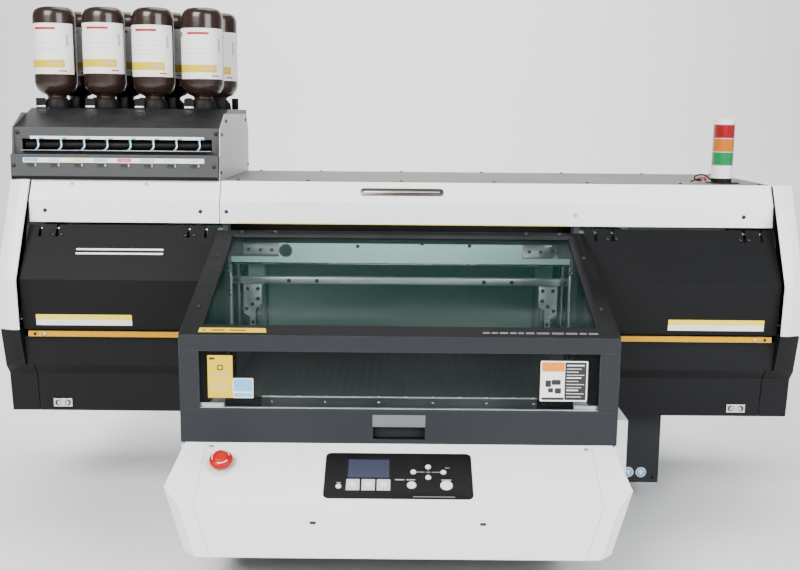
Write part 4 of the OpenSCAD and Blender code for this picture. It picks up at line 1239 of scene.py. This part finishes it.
bottleSettings = {
    "rows": {"front_bottles": (100, 0), "back_bottles": (214, 13)},
    "firstX": -780, "pitch": 110.3, "radius": 46.4,
    "labelLow": [930, 932, 926, 922], "labelHigh": [1040, 1042, 1038, 1032],
    "turns": [-4, 3, -2, 5],
    # lift off the shell, low and high share of the label, start and end angle, thickness, finish
    "bands": [
        (0.0, 0.0, 1.0, -78, 78, 0.0003, "labelWhite"),
        (0.0003, 0.13, 0.28, -77, 46, 0.00015, "labelYellow"),
        (0.00045, 0.185, 0.225, 6, 20, 0.0001, "labelGrey"),
        (0.00045, 0.185, 0.225, 23, 40, 0.0001, "labelGrey"),
        (0.0003, 0.875, 0.92, -38, 24, 0.00015, "labelRed"),
        (0.0003, 0.05, 0.075, 30, 52, 0.00015, "labelRed"),
        (0.0003, 0.60, 0.607, -50, 40, 0.0001, "labelGrey"),
        (0.0003, 0.50, 0.507, -50, 25, 0.0001, "labelGrey"),
        (0.0003, 0.44, 0.446, -50, 32, 0.0001, "labelGrey"),
        (0.0003, 0.55, 0.80, 52, 60, 0.0001, "labelGrey"),
        (0.0003, 0.84, 0.93, -72, -62, 0.0001, "labelBlack"),
    ],
    "capProfile": [(0.0237, 0.8568), (0.0252, 0.8568), (0.0254, 0.8590), (0.0250, 0.8640), (0.0250, 0.8745),
        (0.0240, 0.8757), (0.0237, 0.8757)],
    "collarHeights": [(0, 0.8562), (0.0035, 0.8562), (0.0040, 0.8590), (0.0012, 0.8720), (0, 0.8722)],
    "collarRadius": 0.0265,
    "forkOutline": [(0.030, 0.010), (0.044, 0.010), (0.046, 0.014), (0.042, 0.022), (0.032, 0.022)],
}


def bottlePlace(settings, node, k):
    row, shift = settings["rows"][node]
    return Matrix.Translation(((settings["firstX"] + settings["pitch"] * k + shift) * mm, row * mm, 0))


def labelBand(r, low, high, startAngle, endAngle, thick, finish, steps=28):
    points = []
    for k in range(steps + 1):
        angle = math.radians(startAngle + (endAngle - startAngle) * k / steps)
        points.append(Vector((r * math.sin(angle), -r * math.cos(angle), low)))
    grow = 1 + thick / r
    outer = [Vector((p.x * grow, p.y * grow, p.z)) for p in points]
    return pushed("band", points + outer[::-1], (0, 0, high - low), finish)


def makeBottles(settings):
    r = settings["radius"] * mm
    body = [(0, 0.8465), (0.0168, 0.8465), (0.0168, 0.8566), (0.0235, 0.8566), (0.0238, 0.8760), (0.0225, 0.8775),
        (0.0205, 0.8790), (0.0215, 0.8835), (0.0270, 0.8860), (0.0345, 0.8895), (r - 0.006, 0.8960),
        (r - 0.002, 0.9035), (r, 0.9120), (r, 1.0560), (r - 0.0008, 1.0630), (r - 0.0030, 1.0690),
        (r - 0.0075, 1.0740), (r - 0.0140, 1.0768), (r - 0.022, 1.0774), (0, 1.0768)]
    sources = [upright("bottleShell", body, "bottleBrown", 72),
        upright("bottleCap", settings["capProfile"], "matteBlack", 48)]
    for node in settings["rows"]:
        shells, bands = [], []
        for k, angle in enumerate(settings["turns"]):
            where = bottlePlace(settings, node, k) @ Matrix.Rotation(math.radians(angle), 4, "Z")
            shells += [copyOf(source, "shell", where) for source in sources]
            foot = settings["labelLow"][k] * mm
            tall = settings["labelHigh"][k] * mm - foot
            for lift, low, high, start, end, thick, finish in settings["bands"]:
                band = labelBand(r + lift, foot + tall * low, foot + tall * high, start, end, thick, finish)
                band.data.transform(where)
                bands.append(band)
        name = node.replace("_", "")
        stands(joined(shells, name + "Shells"), node)
        grouped(bands, name + "Labels", node)
    for source in sources:
        remove(source)


def makeBottleHolders(settings):
    r = settings["collarRadius"]
    collar = upright("collar", [(r + out, z) for out, z in settings["collarHeights"]], "matteBlack")
    outline = [(x, y, 0.8562) for x, y in settings["forkOutline"]]
    fork = pushed("fork", outline, (0, 0, 0.026), "matteBlack", 0.0015)
    clip = block("clip", (-0.0375, -0.0335, 0.8572), (-0.0165, -0.0318, 0.8612), "aluminium", 0.0003)
    sources = (collar, fork, clip)
    copies = [copyOf(source, source.name, bottlePlace(settings, node, k))
        for node in settings["rows"] for k in range(4) for source in sources]
    grouped(copies, "bottleHolders", "frame")
    for source in sources:
        remove(source)


makeBottles(bottleSettings)
makeBottleHolders(bottleSettings)
print("ink station done")

# gantry, table and inside

insideSettings = {
    "headerScrews": [-230, -78, 78, 232, -700, -540, 540, 700], "bracketScrews": (0.276, 0.300, 0.325),
    "guardScrews": (0.18, 0.24, 0.355),
    "postOutline": [(0.300, 0.486), (0.340, 0.486), (0.340, 0.420), (0.326, 0.412), (0.326, 0.350), (0.314, 0.350),
        (0.314, 0.430), (0.300, 0.440)],
    "postHoles": [(0.308, 0.474), (0.330, 0.474), (0.308, 0.452), (0.320, 0.440), (0.333, 0.430), (0.320, 0.400)],
    "baffleOutline": [(0.596, 0.150), (0.596, 0.492), (0.598, 0.492), (0.598, 0.150)],
    "beamScrews": [(-0.34, 0.56), (-0.33, 0.53), (-0.1, 0.545), (0.05, 0.552), (0.16, 0.548), (0.30, 0.556),
        (0.33, 0.53), (0.345, 0.56)],
    # name, low and high corner, finish, bevel, body and slot of each plain bar
    "bars": [
        # painted shade: a matte black strip fills the gap under the fascia's lower edge
        ("gapShadeStrip", (-0.372, -0.0408, 0.590), (0.372, -0.0396, 0.6165), "matteBlack", 0.0002, "frame", "motor_steel"),
        ("guardFace", (-0.366, -0.0772, 0.4865), (0.366, -0.0762, 0.5005), "zincSheet", 0.0003, "frame",
            "bright_steel"),
        ("leftWingBaffle", (-0.802, 0.3150, 0.225), (-0.392, 0.3165, 0.655), "chassisBlack", 0.0003, "frame",
            "frame_steel"),
        ("rightWingBaffle", (0.392, 0.3150, 0.225), (0.802, 0.3165, 0.655), "chassisBlack", 0.0003, "frame",
            "frame_steel"),
        ("beamLowerEdge", (-0.760, 0.1088, 0.5012), (0.760, 0.1101, 0.5060), "brightSteel", 0.0003, "gantry",
            "aluminium"),
    ],
}


def makeInsideTrim(settings):
    screwSet("headerScrews", brightPan, aimed(frontWay, [(x * mm, -0.0802, 0.588) for x in settings["headerScrews"]]))
    for name, low, high, finish, bevel, body, slotName in settings["bars"]:
        onBody(block(name, low, high, finish, bevel), body)
    brackets = [block("bracket", (0.2625, -0.0778, 0.546), (0.338, -0.0762, 0.5745), "brightSteel", 0.0005),
        block("bracket", (-0.338, -0.0778, 0.550), (-0.2625, -0.0762, 0.5745), "zincSheet", 0.0005)]
    grouped(brackets, "headerBrackets", "frame")
    spots = [(side * x, -0.0779, z) for xs, z in ((settings["bracketScrews"], 0.560), (settings["guardScrews"], 0.4935))
        for side in bothSides for x in xs]
    screwSet("bracketScrews", darkPan, aimed(frontWay, spots))
    plates = []
    for side in bothSides:
        outline = [(side * x, -0.0705, z) for x, z in settings["postOutline"]]
        plates.append(pushed("guardPost", outline, (0, 0.0025, 0), "zincSheet", 0.0005))
    grouped(plates, "guardPosts", "frame")
    spots = [(side * x, -0.0707, z) for side in bothSides for x, z in settings["postHoles"]]
    screwSet("postHoles", darkPan, aimed(frontWay, spots))
    outline = [(-0.372, y, z) for y, z in settings["baffleOutline"]]
    # rear baffle in the beam's light teal paint, which carries painted light
    onBody(pushed("rearBaffle", outline, (0.744, 0, 0), "beamZinc", 0.0004), "frame")
    screwSet("beamScrews", darkPan, aimed(frontWay, [(x, 0.1098, z) for x, z in settings["beamScrews"]]), "gantry")


makeInsideTrim(insideSettings)

tableSettings = {"rivets": [-285, -225, -165, -105, -45, 15, 75, 135, 195, 255, 300], "spread": 0.82}


def makeTableTrim(settings):
    rivet = upright("rivet", [(0, 0.0012), (0.0016, 0.0011), (0.0026, 0.0006), (0.0029, -0.0002), (0, -0.0002)],
        "aluminium", 18)
    row = [x * settings["spread"] * mm for x in settings["rivets"]]
    places = aimed(upWay, [(x, -0.438, 0.3381) for x in row]) + aimed(frontWay, [(x, -0.4422, 0.327) for x in row[::2]])
    screwSet("tableRivets", rivet, places, "table")
    remove(rivet)


makeTableTrim(tableSettings)

# right-hand box, covers, brackets

stickerSettings = {
    "places": [(0.512, 0.066), (0.540, 0.066)], "y": -0.0691,
    "disc": [(0, 0.0003), (0.0112, 0.0003), (0.0116, 0.0), (0, 0.0)],
    "rim": [(0.0104, 0.0003), (0.0106, 0.00042), (0.0114, 0.00042), (0.0116, 0.0003)],
}


def makeBoxStickers(settings):
    discs = []
    y = settings["y"]
    for x, z in settings["places"]:
        discs += [turned("disc", settings["disc"], (x, y, z), frontWay, "labelBlue", 36),
            turned("disc", settings["rim"], (x, y, z), frontWay, "labelWhite", 36),
            frontPlate("disc", (x, y - 0.0004, z), 0.0045, 0.012, 0.0001, "labelWhite", 0.002),
            frontPlate("disc", (x - 0.001, y - 0.0005, z + 0.002), 0.010, 0.0035, 0.0001, "labelWhite")]
    grouped(discs, "roundStickers", "frame")


makeBoxStickers(stickerSettings)

backSettings = {
    "wingX": (-0.76, -0.60, -0.42, 0.42, 0.60, 0.76), "bayX": (-0.36, -0.18, 0.0, 0.18, 0.36),
    "deckX": (-0.35, -0.2, 0.0, 0.2, 0.4, 0.6, 0.77), "boxZ": (0.055, 0.198),
}


def makeBackScrews(settings):
    places = aimed(-frontWay, [(x, 0.3303, z) for x in settings["wingX"]
        for z in (0.24 if abs(x) < 0.75 else 0.34, 0.45, 0.68)])
    places += aimed(-frontWay, [(x, 0.6252, z) for x in settings["bayX"] for z in (0.46, 0.075)])
    for side in bothSides:
        way = rightWay * side
        places += aimed(way, [(side * 0.3853, y, z) for y in (0.36, 0.48, 0.60) for z in (0.09, 0.30, 0.47)])
        places += aimed(way, [(side * 0.8327, y, z) for y in (0.0, 0.15, 0.30) for z in (0.25, 0.36, 0.45, 0.66)])
    screwSet("coverScrews", darkPan, places)
    screwSet("deckScrews", darkPan, aimed(upWay, [(x, y, 0.7062) for x in settings["deckX"] for y in (-0.045, 0.318)]))
    places = aimed(frontWay, [(x, -0.0693, z) for x in (0.40, 0.568) for z in settings["boxZ"]])
    places += aimed(rightWay, [(0.5793, y, z) for y in (-0.05, 0.30) for z in settings["boxZ"]])
    screwSet("boxCornerScrews", darkPan, places)


makeBackScrews(backSettings)

bracketSettings = {"x": 0.723, "half": 0.0105, "y": -0.1256, "z": 0.231}


def makeBracketHoleShades(settings):
    profile = [(0, 0.0003), (0.0036, 0.0003), (0.0052, 0.0009), (0.0062, 0.0003), (0.0062, -0.0002), (0, -0.0002)]
    # painted shade: black discs with a raised rim stand for the four bracket holes
    source = upright("hole", profile, "labelBlack", 24)
    spots = [(side * settings["x"] + way * settings["half"], settings["y"], settings["z"])
        for side in bothSides for way in bothSides]
    screwSet("bracketHoleShades", source, aimed(frontWay, spots))
    remove(source)


makeBracketHoleShades(bracketSettings)
remove(darkPan)
remove(brightPan)
print("trim done")
